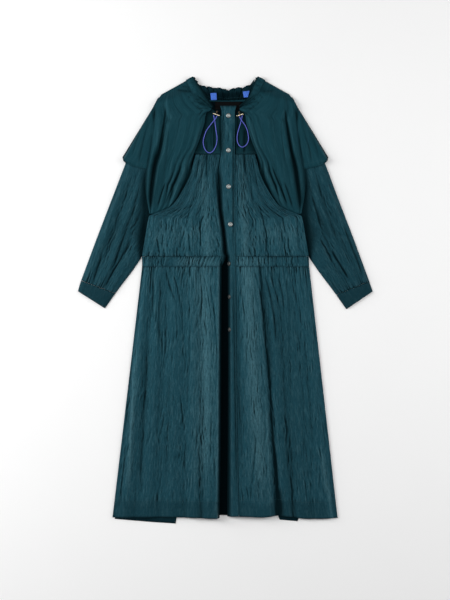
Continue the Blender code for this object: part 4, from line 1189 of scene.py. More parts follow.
@dataclass
class Bodice(Tailor):
    """Yokes, gathered bibs, waist casings and the body's back."""

    skirt: Skirt
    bib_seam_top: float = 7.8
    casing_lift: float = 0.15
    bib_left_folds: Folds = folded(
        (0, 0, 0, 11.5, 12, 9.4),
        (0.08, 0.07, 0.08, 13, 12.6, 12),
        (0.2, 0.2, 0.21, 11, 10.6, 9.8),
        (0.32, 0.32, 0.33, 13.5, 14, 13),
        (0.43, 0.43, 0.44, 9.2, 11.6, 10.6),
        (0.54, 0.56, 0.57, 13.5, 15.5, 15),
        (0.66, 0.66, 0.67, 11.5, 12.8, 12.2),
        (0.78, 0.79, 0.81, 13.5, 16.5, 17),
        (0.9, 0.94, 0.955, 12.5, 15, 17.5),
        (1, 1, 1, 9.6, 6.8, 5.8),
    )
    bib_right_folds: Folds = folded(
        (0, 0, 0, 10.6, 13, 14.6),
        (0.15, 0.13, 0.13, 13, 15.5, 17.5),
        (0.29, 0.26, 0.25, 11, 12.6, 12.8),
        (0.39, 0.36, 0.36, 13, 15, 16),
        (0.46, 0.46, 0.45, 9.2, 11.4, 11),
        (0.6, 0.6, 0.58, 13.2, 14.4, 14),
        (0.74, 0.72, 0.7, 11, 10.8, 10.2),
        (0.87, 0.86, 0.84, 12.8, 13.2, 12.8),
        (0.95, 0.93, 0.93, 11.5, 11, 10.4),
        (1, 1, 1, 11.5, 12, 9.4),
    )

    def bib_sheet(self, side: Side) -> Surface:
        """A bib between its armhole and the placket, level along the yoke's seam."""
        top, waist = YOKE_SEAM - SEAM / 2, WAIST_TOP
        if side is Side.LEFT:
            placket = beside_placket(top, waist, SECTION_LEFT, -3 * SEAM)
            sheet = FoldedSheet(BIB_ARMHOLE, placket, self.bib_left_folds)
        else:
            placket = beside_placket(top, waist, SECTION_RIGHT, SEAM)
            sheet = FoldedSheet(placket, mirrored(BIB_ARMHOLE), self.bib_right_folds)
        return drawn_to(sheet, self.bib_seam_top, 0.09)

    def make_bib(self, side: Side) -> None:
        """One bib: gathers fan from the yoke and again above the waist."""
        panel = Panel(
            f"bib_{side}", self.bib_sheet(side), (196.0, 292.0), (150, 100),
            (Crinkle(3.5, 7.4, 32.0, side.pick(31, 35)),
             Crinkle(2.0, 4.4, 14.0, side.pick(41, 45))),
            side.pick(LEFT_BIB_CREASES, RIGHT_BIB_CREASES),
            top_gathers=Gathers(1.3, 11.0, 30.0, side.pick(3, 6)),
            bottom_gathers=Gathers(1.6, 6.0, 20.0, side.pick(13, 16)), edge_fade=10.0, reach=9,
        )
        edge = side.pick(0.025, 0.975)
        armhole = ((edge, 0.02), (edge, 0.5), (edge, 0.985))
        self.lay(panel, "crinkled_nylon", [f"cape_front_{side}", "bodice_back"], 0.80,
                 (armhole, row_across(0.03, 0.97, 0.985)))

    def make_yokes(self) -> None:
        """Both yokes, almost flat, each sewn down along its lower edge."""
        outer = ((-126.5, 577), (-146.5, 517), (-142, 461), (-126.5, 408))
        neck = ((-49.5, 554.5), (-38.5, 535), (-26, 523.5), (-14, 516), (-13.5, 463.5),
                (-13.5, 408))
        neck_right = ((51, 554.5), (41.5, 535), (33, 523.5), (27.5, 511.5), (27.5, 463.5),
                      (27.5, 408))
        level = folded(*((a, YOKE_TOP) for a in (0.0, 0.5, 1.0)))
        sheets = {
            Side.LEFT: FoldedSheet(outer, neck, level),
            Side.RIGHT: FoldedSheet(neck_right, mirrored(outer), level),
        }
        rows = tuple(row_across(0.02, 0.98, down) for down in (0.985, 0.965))
        for side, sheet in sheets.items():
            panel = Panel(
                f"yoke_{side}", sheet, (118.0, 164.0), (60, 70),
                (Crinkle(0.5, 7.0, 50.0, side.pick(61, 64)),),
                side.pick(LEFT_YOKE_CREASES, RIGHT_YOKE_CREASES), reach=6, added_shade=beside_cape,
            )
            self.lay(panel, "smooth_nylon", ["bodice_back"], 0.95, rows)

    def casing_sheet(self, side: Side) -> tuple[Surface, float]:
        """A waist casing between the bib's lower and the skirt's upper profile."""
        sheet = side.pick(self.skirt.front_left(), self.skirt.front_right())
        across = fractions(300)
        upper = self.bib_sheet(side)(across, np.ones_like(across))
        lower = sheet(across, np.zeros_like(across))

        def casing(fraction: Array, down: Array) -> Places:
            """Straight lines down from one profile to the other, lifted to lie over the seams."""
            up = 1 - down
            left = upper[0][0] * up + lower[0][0] * down
            right = upper[0][-1] * up + lower[0][-1] * down
            x = left + (right - left) * fraction
            y = WAIST_TOP * up + WAIST_BOTTOM * down
            rise = np.interp(x, upper[0], upper[2]) * up + np.interp(x, lower[0], lower[2]) * down
            return x, y, rise + self.casing_lift

        return casing, float(upper[0][-1] - upper[0][0])

    def make_casings(self) -> None:
        """Both waist casings, ruched by the cord that runs in them, sewn along both edges."""
        rows = tuple(row_across(0.01, 0.99, down) for down in (0.06, 0.94))
        for side in Side:
            sheet, width = self.casing_sheet(side)
            panel = Panel(
                f"waist_casing_{side}", sheet, (width, 29.0), (200, 18),
                (Crinkle(2.2, 6.0, 16.0, side.pick(71, 74)), Crinkle(1.0, 4.0, 9.0, 77)),
                side.pick(LEFT_CASING_CREASES, RIGHT_CASING_CREASES),
                top_gathers=Gathers(2.2, 5.5, 24.0, side.pick(21, 24)), edge_fade=5.0, reach=10,
            )
            self.lay(panel, "crinkled_nylon", [f"skirt_{side}"], 1.0, rows)

    def make_back(self) -> None:
        """The body's back: over the cape's back at the top, on the floor further down."""
        left = (
            (-160.5, 555.5), (-198, 522.5), (-191, 447), (-184, 363), (-177.5, 290),
            (-180.5, 242.5), (-191, 192), (-210, 150), (-229, 118), (-231.5, 108),
        )
        level = folded(*((a, FIRST_TOP) for a in (0.0, 0.5, 1.0)))
        sheet = FoldedSheet(left, mirrored(left), level)

        def laid(across: Array, down: Array) -> Places:
            """The flat sheet on the level that it rests on."""
            x, y, z = sheet(across, down)
            return x, y, z + rest_level(y)

        panel = Panel(
            "bodice_back", laid, (380.0, 460.0), (60, 40), (Crinkle(0.3, 9.0, 60.0, 88),),
            # Painted shade between the layers, all over the body's back.
            edge_fade=4.0, reach=0, lower=0.25, wall=0.9, added_shade=even(0.85),
        )
        self.lay(panel, "shaded_nylon", ["cape_back"], 0.95)


LEFT_BIB_CREASES = crumple(
    (3.6, 2, 1, -53, 419, -53.5, 379.5, -55, 335),
    (2.4, 1.6, 0.6, -73.5, 407.5, -77.5, 374, -84.5, 329.5),
    (2.2, 1.1, 0.3, -37, 399.5, -34.5, 349, -31.5, 293),
    (2.2, 1.1, 0.3, -66, 396.5, -68, 335, -73.5, 265),
    (3, 1.2, 0.15, -93, 279, -110, 217.5, -126.5, 150),
    (3.5, 1.2, 0.2, -138, 245.5, -154.5, 189.5, -166, 133.5),
    (4.5, 2, 0.7, -28.5, 379.5, -23, 307, -14.5, 237, -5, 167, -1.5, 127.5),
    (8.5, 0, 0.85, -10, 234, -6.5, 178, -2, 105.5),
    (3, 1.6, 0.25, -194, 178, -188.5, 150, -185.5, 125),
    (2.5, 1.3, 0.2, -174.5, 189.5, -177, 153, -174.5, 125),
    (3, 1.5, 0.25, -104.5, 195, -101.5, 155.5, -98.5, 125),
    (3, 1, 0.15, -73.5, 237, -70.5, 181, -68, 127.5),
    (18, 0, -0.5, -65, 447, -62.5, 321, -54, 209, -48.5, 55),
    (30, 0, -0.4, -238.5, 167, -140.5, 183.5, -56.5, 178, 13.5, 139),
)
RIGHT_BIB_CREASES = crumple(
    (3.6, 2, 1, 51.5, 419, 52, 382.5, 54, 343.5),
    (2.2, 1.4, 0.45, 72, 405, 80.5, 363, 89, 312.5),
    (2.2, 1.1, 0.3, 63.5, 396.5, 69.5, 340.5, 75, 265),
    (2.2, 1.1, 0.3, 42.5, 396.5, 44, 329.5, 47, 262),
    (2.4, 1.1, 0.25, 31.5, 396.5, 33, 307, 33, 195),
    (3, 1.2, 0.15, 89, 279, 105.5, 217.5, 119.5, 150),
    (3.5, 1.2, 0.2, 136.5, 245.5, 153.5, 189.5, 167.5, 133.5),
    (3, 1.6, 0.25, 91.5, 189.5, 97.5, 153, 100, 125),
    (2.5, 1.3, 0.2, 114, 189.5, 114, 153, 111.5, 125),
    (3, 1.5, 0.25, 175.5, 189.5, 175.5, 153, 178.5, 125),
    (3, 1, 0.15, 198, 217.5, 201, 167, 206.5, 127.5),
    (13, 0, -0.6, 47, 447, 47, 307, 52.5, 195, 58, 27),
    (30, 0, -0.4, 19, 139, 83.5, 178, 153.5, 183.5, 237.5, 167),
)
LEFT_YOKE_CREASES = crumple(
    (1.6, 0.8, 0.3, -53, 447, -53, 424.5, -53, 402),
    (3, 0.7, 0.1, -37, 514, -40, 469.5, -40, 419),
    (3, -0.6, 0, -70.5, 503, -68, 461, -65, 419),
    (2.8, 0.5, 0.85, -32, 508.5, -33, 463.5, -32.5, 410.5),
    (3.4, 0, 0.75, -16.5, 531, -16.5, 469.5, -16.5, 407.5),
)
RIGHT_YOKE_CREASES = crumple(
    (1.6, 0.9, 0.35, 49.5, 463.5, 49.5, 430, 49.5, 402),
    (3, 0.7, 0.1, 34.5, 508.5, 35.5, 463.5, 35.5, 419),
    (3, -0.6, 0, 66.5, 503, 66.5, 461, 63.5, 419),
    (2.8, 0.5, 0.9, 52, 480.5, 52.5, 441.5, 52, 405),
    (3.4, 0, 0.75, 32.5, 531, 32.5, 469.5, 32.5, 407.5),
)
LEFT_CASING_CREASES = crumple(
    (1.1, 0.6, 0.75, -233, 120.5, -126.5, 120.5, -3.5, 120),
    (1, 0.4, 0.1, -233, 95, -126.5, 95, -9, 95),
    (2.4, 1.8, 0.3, -191, 122, -188.5, 108, -191, 91.5),
    (2, 1.5, 0.3, -177, 122, -180, 108, -177, 91.5),
    (2.4, 1.8, 0.3, -104.5, 122, -101.5, 108, -104.5, 91.5),
    (2, 1.4, 0.25, -90.5, 122, -93, 108, -90.5, 91.5),
    (8.5, 0, 1, 3.5, 144.5, -1.5, 116.5, -7.5, 88.5, -12, 55),
    (16, 0, -0.6, -154.5, 105.5, -98.5, 105.5, -56.5, 105.5, -0.5, 105.5),
)
RIGHT_CASING_CREASES = crumple(
    (1.1, 0.6, 0.75, 30, 120.5, 125.5, 120.5, 231.5, 120),
    (1, 0.4, 0.1, 30, 95, 125.5, 95, 231.5, 95),
    (2.4, 1.8, 0.3, 97.5, 122, 100, 108, 97.5, 91.5),
    (2, 1.5, 0.3, 111.5, 122, 108.5, 108, 114, 91.5),
    (2.4, 1.6, 0.3, 167.5, 122, 170, 108, 167.5, 91.5),
    (2, 1.4, 0.25, 187, 122, 184, 108, 187, 91.5),
    (16, 0, -0.6, 13.5, 105.5, 55.5, 105.5, 89, 105.5, 131, 105.5),
)


@dataclass
class Placket(Tailor):
    """The strip that carries the snaps, turned on edge into the fold below the waist."""

    wall_share: float = 0.36
    cut: Pair = (46.0, 1150.0)

    def sheet(self, across: Array, down: Array) -> Places:
        """The wall from foot to rim, then the face from rim to right edge, at each height."""
        top, bottom = PLACKET_SECTIONS[0, 0], PLACKET_SECTIONS[-1, 0]
        y = top + (bottom - top) * down
        left, rim, right = (section(y, k) for k in (SECTION_LEFT, SECTION_RIM, SECTION_RIGHT))
        foot_top, rim_top, right_top = (section(y, k) for k in (FOOT_TOP, RIM_TOP, RIGHT_TOP))
        wall = np.clip(across / self.wall_share, 0.0, 1.0)
        face = np.clip((across - self.wall_share) / (1 - self.wall_share), 0.0, 1.0)
        x = left + (rim - left) * wall + (right - rim) * face
        round_rim = 0.8 * np.exp(-(((across - self.wall_share) / 0.06) ** 2))
        z = foot_top + (rim_top - foot_top) * wall + (right_top - rim_top) * face - round_rim
        return x, y, z

    def make(self) -> None:
        """Lay the strip and sew its two long edges."""
        panel = Panel(
            "placket", self.sheet, self.cut, (34, 240),
            (Crinkle(1.5, 7.0, 30.0, 91), Crinkle(0.8, 4.0, 14.0, 97)), PLACKET_CREASES,
            edge_fade=4.0, reach=4, lower=0.5, cap=self.stay_low, added_shade=self.wall_shade,
        )
        columns = (self.wall_share + 0.05, 0.93)
        downs = (0.004, 0.25, 0.5, 0.75, 0.996)
        rows = tuple(tuple((across, down) for down in downs) for across in columns)
        self.lay(panel, "crinkled_nylon", ["placket_under"], 1.0, rows)

    def wall_shade(self, x: Array, y: Array) -> Array:
        """Black at the foot of the wall, clear at its rim, from the second snap downwards."""
        foot, rim = section(y, SECTION_LEFT), section(y, SECTION_RIM)
        return (1 - ease((x - foot) / (rim - foot) - 0.15)) * ease((391 - y) / 60.0)

    def stay_low(self, x: Array, y: Array, z: Array) -> Array:
        """Keep the top of the strip flat round the snaps."""
        return np.minimum(z, section(y, RIM_TOP) + 0.25)


PLACKET_CREASES = crumple(
    (1.6, 0.5, 0.2, -2.5, 536.5, -2.5, 419, -4.5, 349),
    (2.4, 0.8, 0.7, 21.5, 536.5, 21, 335, 21, 127.5),
    (2.8, 0.7, 0.65, 21, 127.5, 22.5, -29, 25.5, -225, 31, -594.5),
    (7, 0, 0.75, -31.5, 547.5, 2, 546.5, 41.5, 547.5),
    (2.2, 0.4, 0.65, -8.5, 525.5, -8, 461, -9.5, 391),
    (2.2, 0.6, 0.1, 5, 480.5, 7.5, 452.5, 2, 430),
    (2.2, 0.6, 0.1, 10.5, 391, 7.5, 357.5, 13.5, 329.5),
    (2.2, 0.6, 0.1, 2, 290, 7.5, 262, 5, 228.5),
)


# ---- the sleeves


@dataclass
class Sleeve(Tailor):
    """One long sleeve pressed flat, and its cuff."""

    side: Side
    flat_tube: float = 3.3
    least_loft: float = 2.2
    edge_round: float = 5.0
    under_round: float = 2.0
    upper_columns: int = 120
    lower_columns: int = 36
    rows: int = 110
    cuff_rows: int = 22
    stitch_row: float = 0.93
    left_folds: Folds = folded(
        (0, 3.5),
        (0.14, 0.13, 0.15, 7, 10.5, 8.5),
        (0.28, 0.3, 0.34, 6.4, 8, 6.4),
        (0.42, 0.48, 0.52, 7.4, 11.5, 9.5),
        (0.58, 0.64, 0.68, 6.4, 8, 6.4),
        (0.74, 0.8, 0.84, 7, 10.5, 8.8),
        (0.88, 0.92, 0.95, 5, 6.5, 6),
        (1, 3.5),
    )
    right_folds: Folds = folded(
        (0, 3.5),
        (0.12, 0.12, 0.11, 7, 10, 8.5),
        (0.22, 0.22, 0.22, 6.4, 7, 5),
        (0.36, 0.38, 0.4, 7.4, 11.5, 9.5),
        (0.5, 0.54, 0.6, 6.4, 7.4, 5.2),
        (0.68, 0.72, 0.78, 7.4, 11, 9.2),
        (0.88, 0.92, 0.94, 5, 6.5, 6),
        (1, 3.5),
    )
    cuff_folds: Folds = folded(
        (0, 3.5),
        (0.12, 0.12, 0.12, 6, 6.4, 6),
        (0.5, 0.5, 0.5, 6.6, 7, 6.4),
        (0.88, 0.88, 0.88, 6, 6.4, 6),
        (1, 3.5),
    )
    body_edge: Path = (
        (-212.5, 371.5), (-220, 340.5), (-216.5, 279), (-213.5, 234), (-224.5, 178), (-234, 122),
        (-236, 88.5),
    )

    def edges(self) -> tuple[Path, Path, Path, Path]:
        """The sleeve's outer and inner edge, then the cuff's."""
        inner = ((-184, 290), (-187, 245.5), (-198, 195), (-217.5, 153), (-235, 121),
                 (-308.5, 18.5))
        if self.side is Side.LEFT:
            outer = ((-205, 522.5), (-237, 472), (-265, 421.5), (-284.5, 371.5), (-318, 284.5),
                     (-357, 183.5), (-405, 54.5))
            return outer, inner, ((-405.5, 54), (-414, 24.5)), ((-309, 18), (-338.5, -23.5))
        outer = ((203, 522.5), (235, 472), (263, 421.5), (282, 371.5), (314.5, 284.5),
                 (353.5, 183.5), (402, 52))
        inner = mirrored(inner)[:-1] + ((309, 14.5),)
        return outer, inner, ((402, 51.5), (411.5, 24)), ((309.5, 14), (337.5, -26))

    def tube(self, outer: Path, inner: Path, folds: Folds, rows: int, cut: Pair, crinkles: Crinkles,
             creases: Creases, gathers: Gathers | None, dim: float, free: bool) -> Cloth:
        """A skin pressed flat: the upper half follows the folds, the lower half rests.

        Across its upper half the height rises from the side edge as a quarter circle; the
        lower half comes back at the height of the floor.

        Args:
            outer: its outer edge.
            inner: its inner edge.
            folds: its folds from the outer edge to the inner one.
            rows: rows of points.
            cut: how wide the flattened tube is, and how long, in millimetres of cloth.
            crinkles: its standing creases.
            creases: its listed creases.
            gathers: ruches at its lower end.
            dim: shade all over it.
            free: False where the body lies on the tube's inner side.

        Returns:
            The closed grid.
        """
        mirror = self.side is Side.RIGHT
        upper, down = grid(self.upper_columns + 1, rows)
        lower, _ = grid(self.lower_columns + 1, rows)
        spread = 0.55 * upper + 0.45 * (0.5 - 0.5 * np.cos(np.pi * upper))
        around = np.concatenate((spread, 1 - lower[:, 1:-1]), axis=1)
        down = np.repeat(down[:, :1], around.shape[1], axis=1)
        top_side = np.arange(around.shape[1])[None] <= self.upper_columns
        from_outer = 1 - around if mirror else around
        first, last = (inner, outer) if mirror else (outer, inner)
        point = trace(first, down) * (1 - around[..., None]) + trace(last, down) * around[..., None]
        x, y = point[..., 0], point[..., 1]
        rise = FoldedSheet(outer, inner, folds).rise(from_outer, down)
        width = np.linalg.norm(trace(last, down) - trace(first, down), axis=-1)
        beside = np.minimum(around, 1 - around) * width
        bulge = quarter(beside / self.edge_round)
        u = np.where(top_side, around, 2 - around) * cut[0]
        v = down * cut[1]
        relief = sum((crinkle.relief(u, v) for crinkle in crinkles), np.zeros_like(x))
        if gathers:
            relief = relief + gathers.relief(u, cut[1] - v)
        height, shade = crease_all(creases, x, y)
        open_air = np.ones_like(x)
        if not free:
            sign = -1.0 if mirror else 1.0
            open_air = ease((-224.5 - MIDLINE - sign * (x - MIDLINE)) / 20.0)
            left_x = MIDLINE + sign * (x - MIDLINE)
            reach = np.interp(-y, [-377, -237, -181, -119.5], [11.0, 27.0, 27.0, 8.0])
            # Painted shade in the pocket between the sleeve and the body's side, deeper lower down.
            gap, _, beyond = nearest(self.body_edge, left_x, y)
            pocket = np.where(beyond < 0, np.exp(-((gap / reach) ** 2.5)), 1.0)
            shade = np.maximum(shade, pocket * (0.65 + 0.35 * ease((368.5 - y) / 110.0)))
        loft = self.flat_tube + (rise - self.flat_tube + relief * 0.9 + height) * open_air
        half = self.flat_tube / 2
        top = half + (np.maximum(loft, self.least_loft) - half) * bulge
        bottom = half * (1 - quarter(beside / self.under_round))
        z = np.where(top_side, top, bottom) + rest_level(y)
        return Cloth(x, y, z, u, v, shade + dim, closed=True)

    def lay_tube(self, cloth: Cloth, node: str, rests_on: list[str], cut: Pair,
                 area: float) -> None:
        """Sew a row near a tube's end, and build the tube with its stitches."""
        row = int(self.stitch_row * (cloth.x.shape[0] - 1))
        line = stack(cloth.x[row], cloth.y[row], cloth.z[row])[4 : self.upper_columns - 3]
        all_round = (2 * cut[0], cut[1])
        self.keep(cloth, node, "crinkled_nylon", (0.8, 9), all_round, rests_on, area, [line])

    def make(self) -> None:
        """The sleeve, then the cuff beyond its end."""
        outer, inner, cuff_outer, cuff_inner = self.edges()
        seed, cut = self.side.pick(101, 131), (140.0, 420.0)
        sleeve = self.tube(
            outer, inner, self.side.pick(self.left_folds, self.right_folds), self.rows, cut,
            (Crinkle(2.8, 8.0, 44.0, seed), Crinkle(1.2, 4.6, 20.0, seed + 7)),
            self.side.pick(LEFT_SLEEVE_CREASES, RIGHT_SLEEVE_CREASES),
            Gathers(2.0, 7.0, 26.0, seed + 3), 0.17, free=False,
        )
        self.lay_tube(sleeve, f"sleeve_{self.side}", ["cape_back"], cut, 0.86)
        cuff = self.tube(
            cuff_outer, cuff_inner, self.cuff_folds, self.cuff_rows, (100.0, 38.0),
            (Crinkle(1.2, 7.0, 24.0, seed + 11),), (), None, 0.44, free=True,
        )
        self.lay_tube(cuff, f"cuff_{self.side}", [], (94.0, 38.0), 1.0)


LEFT_SLEEVE_CREASES = crumple(
    (6, 2, 0.25, -255.5, 357.5, -283.5, 279, -317, 189.5, -348, 105.5),
    (5, 2.2, 0.35, -233, 346, -255.5, 262, -289, 167, -322.5, 69),
    (4, -1.4, 0, -278, 363, -306, 279, -336.5, 195),
    (3.5, 2, 0.4, -342.5, 139, -356.5, 97, -373, 49.5),
    (3, 1.8, 0.35, -300.5, 105.5, -322.5, 66, -339.5, 32.5),
    (3.5, 1.4, 0.2, -264, 178, -283.5, 133.5, -311.5, 83),
    (13, 0, -0.55, -261, 374, -286.5, 307, -314.5, 239.5, -331, 189.5),
    (8, 0, 0.3, -292, 239.5, -317, 172.5, -339.5, 122),
    (7, 0, 0.35, -247, 279, -272.5, 217.5, -297.5, 167),
)
RIGHT_SLEEVE_CREASES = crumple(
    (3.2, 2.6, 0.55, 326.5, 216, 349.5, 155.5, 371.5, 99.5, 386.5, 52),
    (3, 2.4, 0.5, 292, 143.5, 315.5, 105.5, 348, 52),
    (6, 2, 0.25, 251.5, 357.5, 271, 279, 299, 200.5, 321.5, 139),
    (4.5, 2, 0.3, 229, 340.5, 248.5, 267.5, 271, 189.5),
    (4.5, -1.4, 0, 279.5, 340.5, 301.5, 279, 327, 206),
    (3.5, 1.4, 0.2, 259.5, 178, 282, 139, 304.5, 94),
    (13, 0, -0.5, 259.5, 374, 285, 307, 310, 245.5, 327, 200.5),
    (7, 0, 0.35, 243, 279, 271, 217.5, 296, 161.5),
)


# ---- the cape


@dataclass
class Cape(Tailor):
    """The shoulder cape: front drapes, short sleeves over the long ones, and its back."""

    tucked_top: float = 7.2
    tuck_climb: float = 1.15
    shoulder_top: float = 4.0
    front_edge: Path = CAPE_FRONT_EDGE
    shoulder_seam: Path = (
        (-180, 575), (-187.5, 564), (-196, 551), (-201, 536.5), (-201.5, 489), (-207, 437),
        (-212, 402), (-221.5, 365.5), (-224, 307), (-213.5, 241),
    )
    cover_fold: Path = (
        (-186.5, 567.5), (-207, 533.5), (-227.5, 500), (-248, 466.5), (-268.5, 433), (-289, 399.5),
    )
    cover_tuck: Path = (
        (-191, 562), (-200, 542), (-198, 489), (-201, 437), (-205, 402), (-213, 364.5),
    )
    cover_hem: Path = ((-289, 399.5), (-285.5, 388), (-278, 381.5), (-249.5, 370.5), (-213, 364.5))
    left_folds: Folds = folded(
        (0, 0, 0, 0, 10, 12.5, 10, 8.6),
        (0.12, 0.1, 0.09, 0.05, 11, 16.5, 14.5, 9.3),
        (0.24, 0.2, 0.16, 0.1, 12, 8.8, 7.9, 7.8),
        (0.34, 0.29, 0.25, 0.22, 14, 19.5, 16, 9.3),
        (0.5, 0.52, 0.4, 0.4, 14, 16, 11, 8.5),
        (0.6, 0.66, 0.47, 0.52, 15, 17.5, 13, 9.3),
        (0.68, 0.74, 0.52, 0.62, 14, 16.5, 9, 7.9),
        (0.76, 0.81, 0.575, 0.72, 15, 17, 13.5, 9.3),
        (0.83, 0.86, 0.63, 0.8, 14.5, 15.5, 8.5, 7.7),
        (0.91, 0.93, 0.75, 0.88, 14, 16, 15, 9),
        (0.97, 0.975, 0.87, 0.95, 12.5, 12, 7.4, 7),
        (1, 1, 1, 1, 11.6, 10.6, 6.6, 6.6),
    )
    right_folds: Folds = folded(
        (0, 0, 0, 0, 10, 12.5, 10, 8.6),
        (0.1, 0.11, 0.1, 0.05, 11, 17.5, 15, 9.3),
        (0.2, 0.19, 0.17, 0.1, 12, 8.8, 7.9, 7.8),
        (0.3, 0.27, 0.25, 0.22, 14, 18, 15, 9.3),
        (0.42, 0.4, 0.36, 0.38, 12.5, 14, 11.5, 8.5),
        (0.56, 0.58, 0.48, 0.52, 15, 17.5, 14, 9.3),
        (0.68, 0.72, 0.56, 0.62, 14.5, 16, 10.5, 7.9),
        (0.76, 0.81, 0.63, 0.72, 15, 17, 14, 9.3),
        (0.84, 0.87, 0.69, 0.8, 14, 15, 9, 7.7),
        (0.91, 0.93, 0.79, 0.88, 14, 16.5, 15, 9),
        (0.97, 0.975, 0.88, 0.95, 12.5, 12, 7.4, 7),
        (1, 1, 1, 1, 11.6, 10.6, 6.6, 6.6),
    )
    cover_folds: Folds = folded(
        (0, 0, 0, 3.8, 3.8, 3.9),
        (0.22, 0.16, 0.13, 5, 9.5, 12),
        (0.45, 0.42, 0.36, 5.4, 12, 14),
        (0.66, 0.64, 0.62, 5.5, 11, 12.4),
        (0.84, 0.84, 0.8, 4.6, 9.8, 10.4),
        (1, 1, 1, 4, 8.6, 7.9),
    )

    def under_bib(self, x: Array, y: Array, z: Array) -> Array:
        """Hold the drape low under the bib, climbing with distance from the bib's edge."""
        gap, _, side = nearest(BIB_ARMHOLE, on_left(x), y)
        limit = self.tucked_top + self.tuck_climb * np.maximum(0.0, -side * gap - 1.5)
        over_yoke = ease((y - (YOKE_SEAM - 17)) / 15)
        return np.minimum(z, limit + 30 * over_yoke)

    def drape(self, side: Side) -> Surface:
        """A front drape between the shoulder seam and its open front edge."""
        top = (self.shoulder_seam[0], (-142, 596), self.front_edge[0])
        folds = side.pick(self.left_folds, self.right_folds)
        sheet = FoldedSheet(self.shoulder_seam, self.front_edge, folds, (0.0, 0.5, 0.75, 1.0), top)
        return drawn_to(side.pick(sheet, turned_over(sheet)), self.shoulder_top, 0.10)

    def make_drapes(self) -> None:
        """Both front drapes, with the photographed grooves and a folded front edge."""
        for side in Side:
            panel = Panel(
                f"cape_front_{side}", self.drape(side), (140.0, 372.0), (120, 110),
                (Crinkle(0.9, 6.5, 95.0, side.pick(151, 156)),),
                side.pick(LEFT_CAPE_CREASES, RIGHT_CAPE_CREASES),
                edge_fade=5.0, reach=10, cap=self.under_bib,
            )
            edge = side.pick(0.965, 0.035)
            self.lay(panel, "smooth_nylon", [f"yoke_{side}", f"sleeve_{side}"], 0.80,
                     (((edge, 0.34), (edge, 0.5), (edge, 0.66)),))

    def make_covers(self) -> None:
        """Both short sleeves of the cape, hemmed over the long ones."""
        sheet = FoldedSheet(
            self.cover_fold, self.cover_tuck, self.cover_folds, bottom=self.cover_hem,
        )
        other = tuple(Crease(mirrored(c.path), c.width, c.depth, c.shade) for c in COVER_CREASES)
        for side in Side:
            panel = Panel(
                f"cape_sleeve_{side}", side.pick(sheet, turned_over(sheet)),
                (76.0, 196.0), (60, 80), (Crinkle(0.8, 6.5, 75.0, side.pick(161, 166)),),
                side.pick(COVER_CREASES, other), edge_fade=5.0, reach=8,
            )
            hem = row_across(0.06, 0.95, 0.93)
            self.lay(panel, "smooth_nylon", [f"sleeve_{side}"], 0.75, (hem,))

    def back_sheet(self, across: Array, down: Array) -> Places:
        """A flat sheet between the two shoulder lines, cut out round the neck."""
        left = (
            (-89.5, 623.5), (-110, 612.5), (-176.5, 571), (-186.5, 557), (-237, 477.5), (-277, 416),
            (-287, 399.5), (-284.5, 390), (-278, 381),
        )
        neck = (
            (-89.5, 623.5), (-68.5, 596.5), (-42.5, 584), (-0.5, 579.5), (41.5, 584), (66.5, 596.5),
            (87.5, 623.5),
        )
        hem = (
            (-278, 381), (-224.5, 360), (-140.5, 340.5), (-0.5, 332), (139.5, 340.5), (222.5, 360),
            (276, 381),
        )
        level = folded((0.0, FIRST_TOP), (1.0, FIRST_TOP))
        return FoldedSheet(left, mirrored(left), level, top=neck, bottom=hem)(across, down)

    def make_back(self) -> None:
        """The cape's back, flat on the floor."""
        panel = Panel(
            "cape_back", self.back_sheet, (500.0, 290.0), (110, 40),
            (Crinkle(0.25, 9.0, 90.0, 171),), edge_fade=4.0, reach=0, lower=0.2, wall=1.0,
        )
        self.lay(panel, "smooth_nylon", [], 0.80, (row_across(0.02, 0.98, 0.975),))


LEFT_CAPE_CREASES = crumple(
    (2.6, 1.6, 0.5, -166, 547.5, -172.5, 497.5, -181.5, 447, -189.5, 402),
    (8.5, 3, 1, -187, 441.5, -193, 410.5, -200, 368.5, -205.5, 329.5, -209, 287.5, -211.5, 239.5),
    (6, 0, 0.5, -210.5, 447, -217.5, 391, -223, 335, -222, 279, -213.5, 239.5),
    (4.2, 1.4, 0.85, -194, 550.5, -200.5, 514, -207, 475, -211.5, 427.5, -212.5, 399.5),
    (2.4, 2, 0.8, -120, 382.5, -137, 342.5, -154, 306, -172.5, 256.5),
    (2.6, 2, 0.55, -166, 335, -180.5, 294, -192, 253.5),
    (6.2, 1.2, 1, -84.5, 419, -96, 377, -105, 343.5, -120.5, 309.5, -135, 282.5, -157.5, 259.5),
    (3.4, -1.6, -0.45, -104.5, 396.5, -116.5, 360, -130.5, 329.5, -147.5, 287.5, -167.5, 256.5),
    (3, 0.8, 0.1, -152, 564.5, -157.5, 497.5, -163, 419, -174.5, 329.5),
    (3, 1.4, 0.7, -140.5, 588, -115.5, 584.5, -90.5, 582.5),
    (2, 0.8, 0.35, -126.5, 598, -107, 595.5, -90.5, 592.5),
    (1.7, 1, 0.5, -44, 532.5, -59.5, 535, -82, 533.5),
    (1.8, 1, 0.5, -44.5, 525.5, -59.5, 519.5, -76.5, 497.5),
    (1.5, 0.9, 0.4, -54, 542, -68, 549, -90.5, 553.5),
    (2.6, -1.2, 0, -180, 531, -188.5, 461, -196.5, 391),
    (1.4, 0.9, 0.3, -115.5, 578.5, -101.5, 592.5, -90.5, 598),
    (1.4, 0.9, 0.3, -107, 561.5, -96, 573, -82, 578.5),
    (1.4, 0.9, 0.3, -96, 547.5, -84.5, 557.5, -73.5, 564.5),
    (1.4, 0.9, 0.3, -84.5, 531, -76.5, 542, -65, 550.5),
    (1.4, 0.8, 0.25, -76.5, 511.5, -68, 525.5, -59.5, 533.5),
    (5, -0.6, -0.45, -62.5, 525.5, -79, 461, -101.5, 391, -126.5, 329.5, -171.5, 253.5),
)
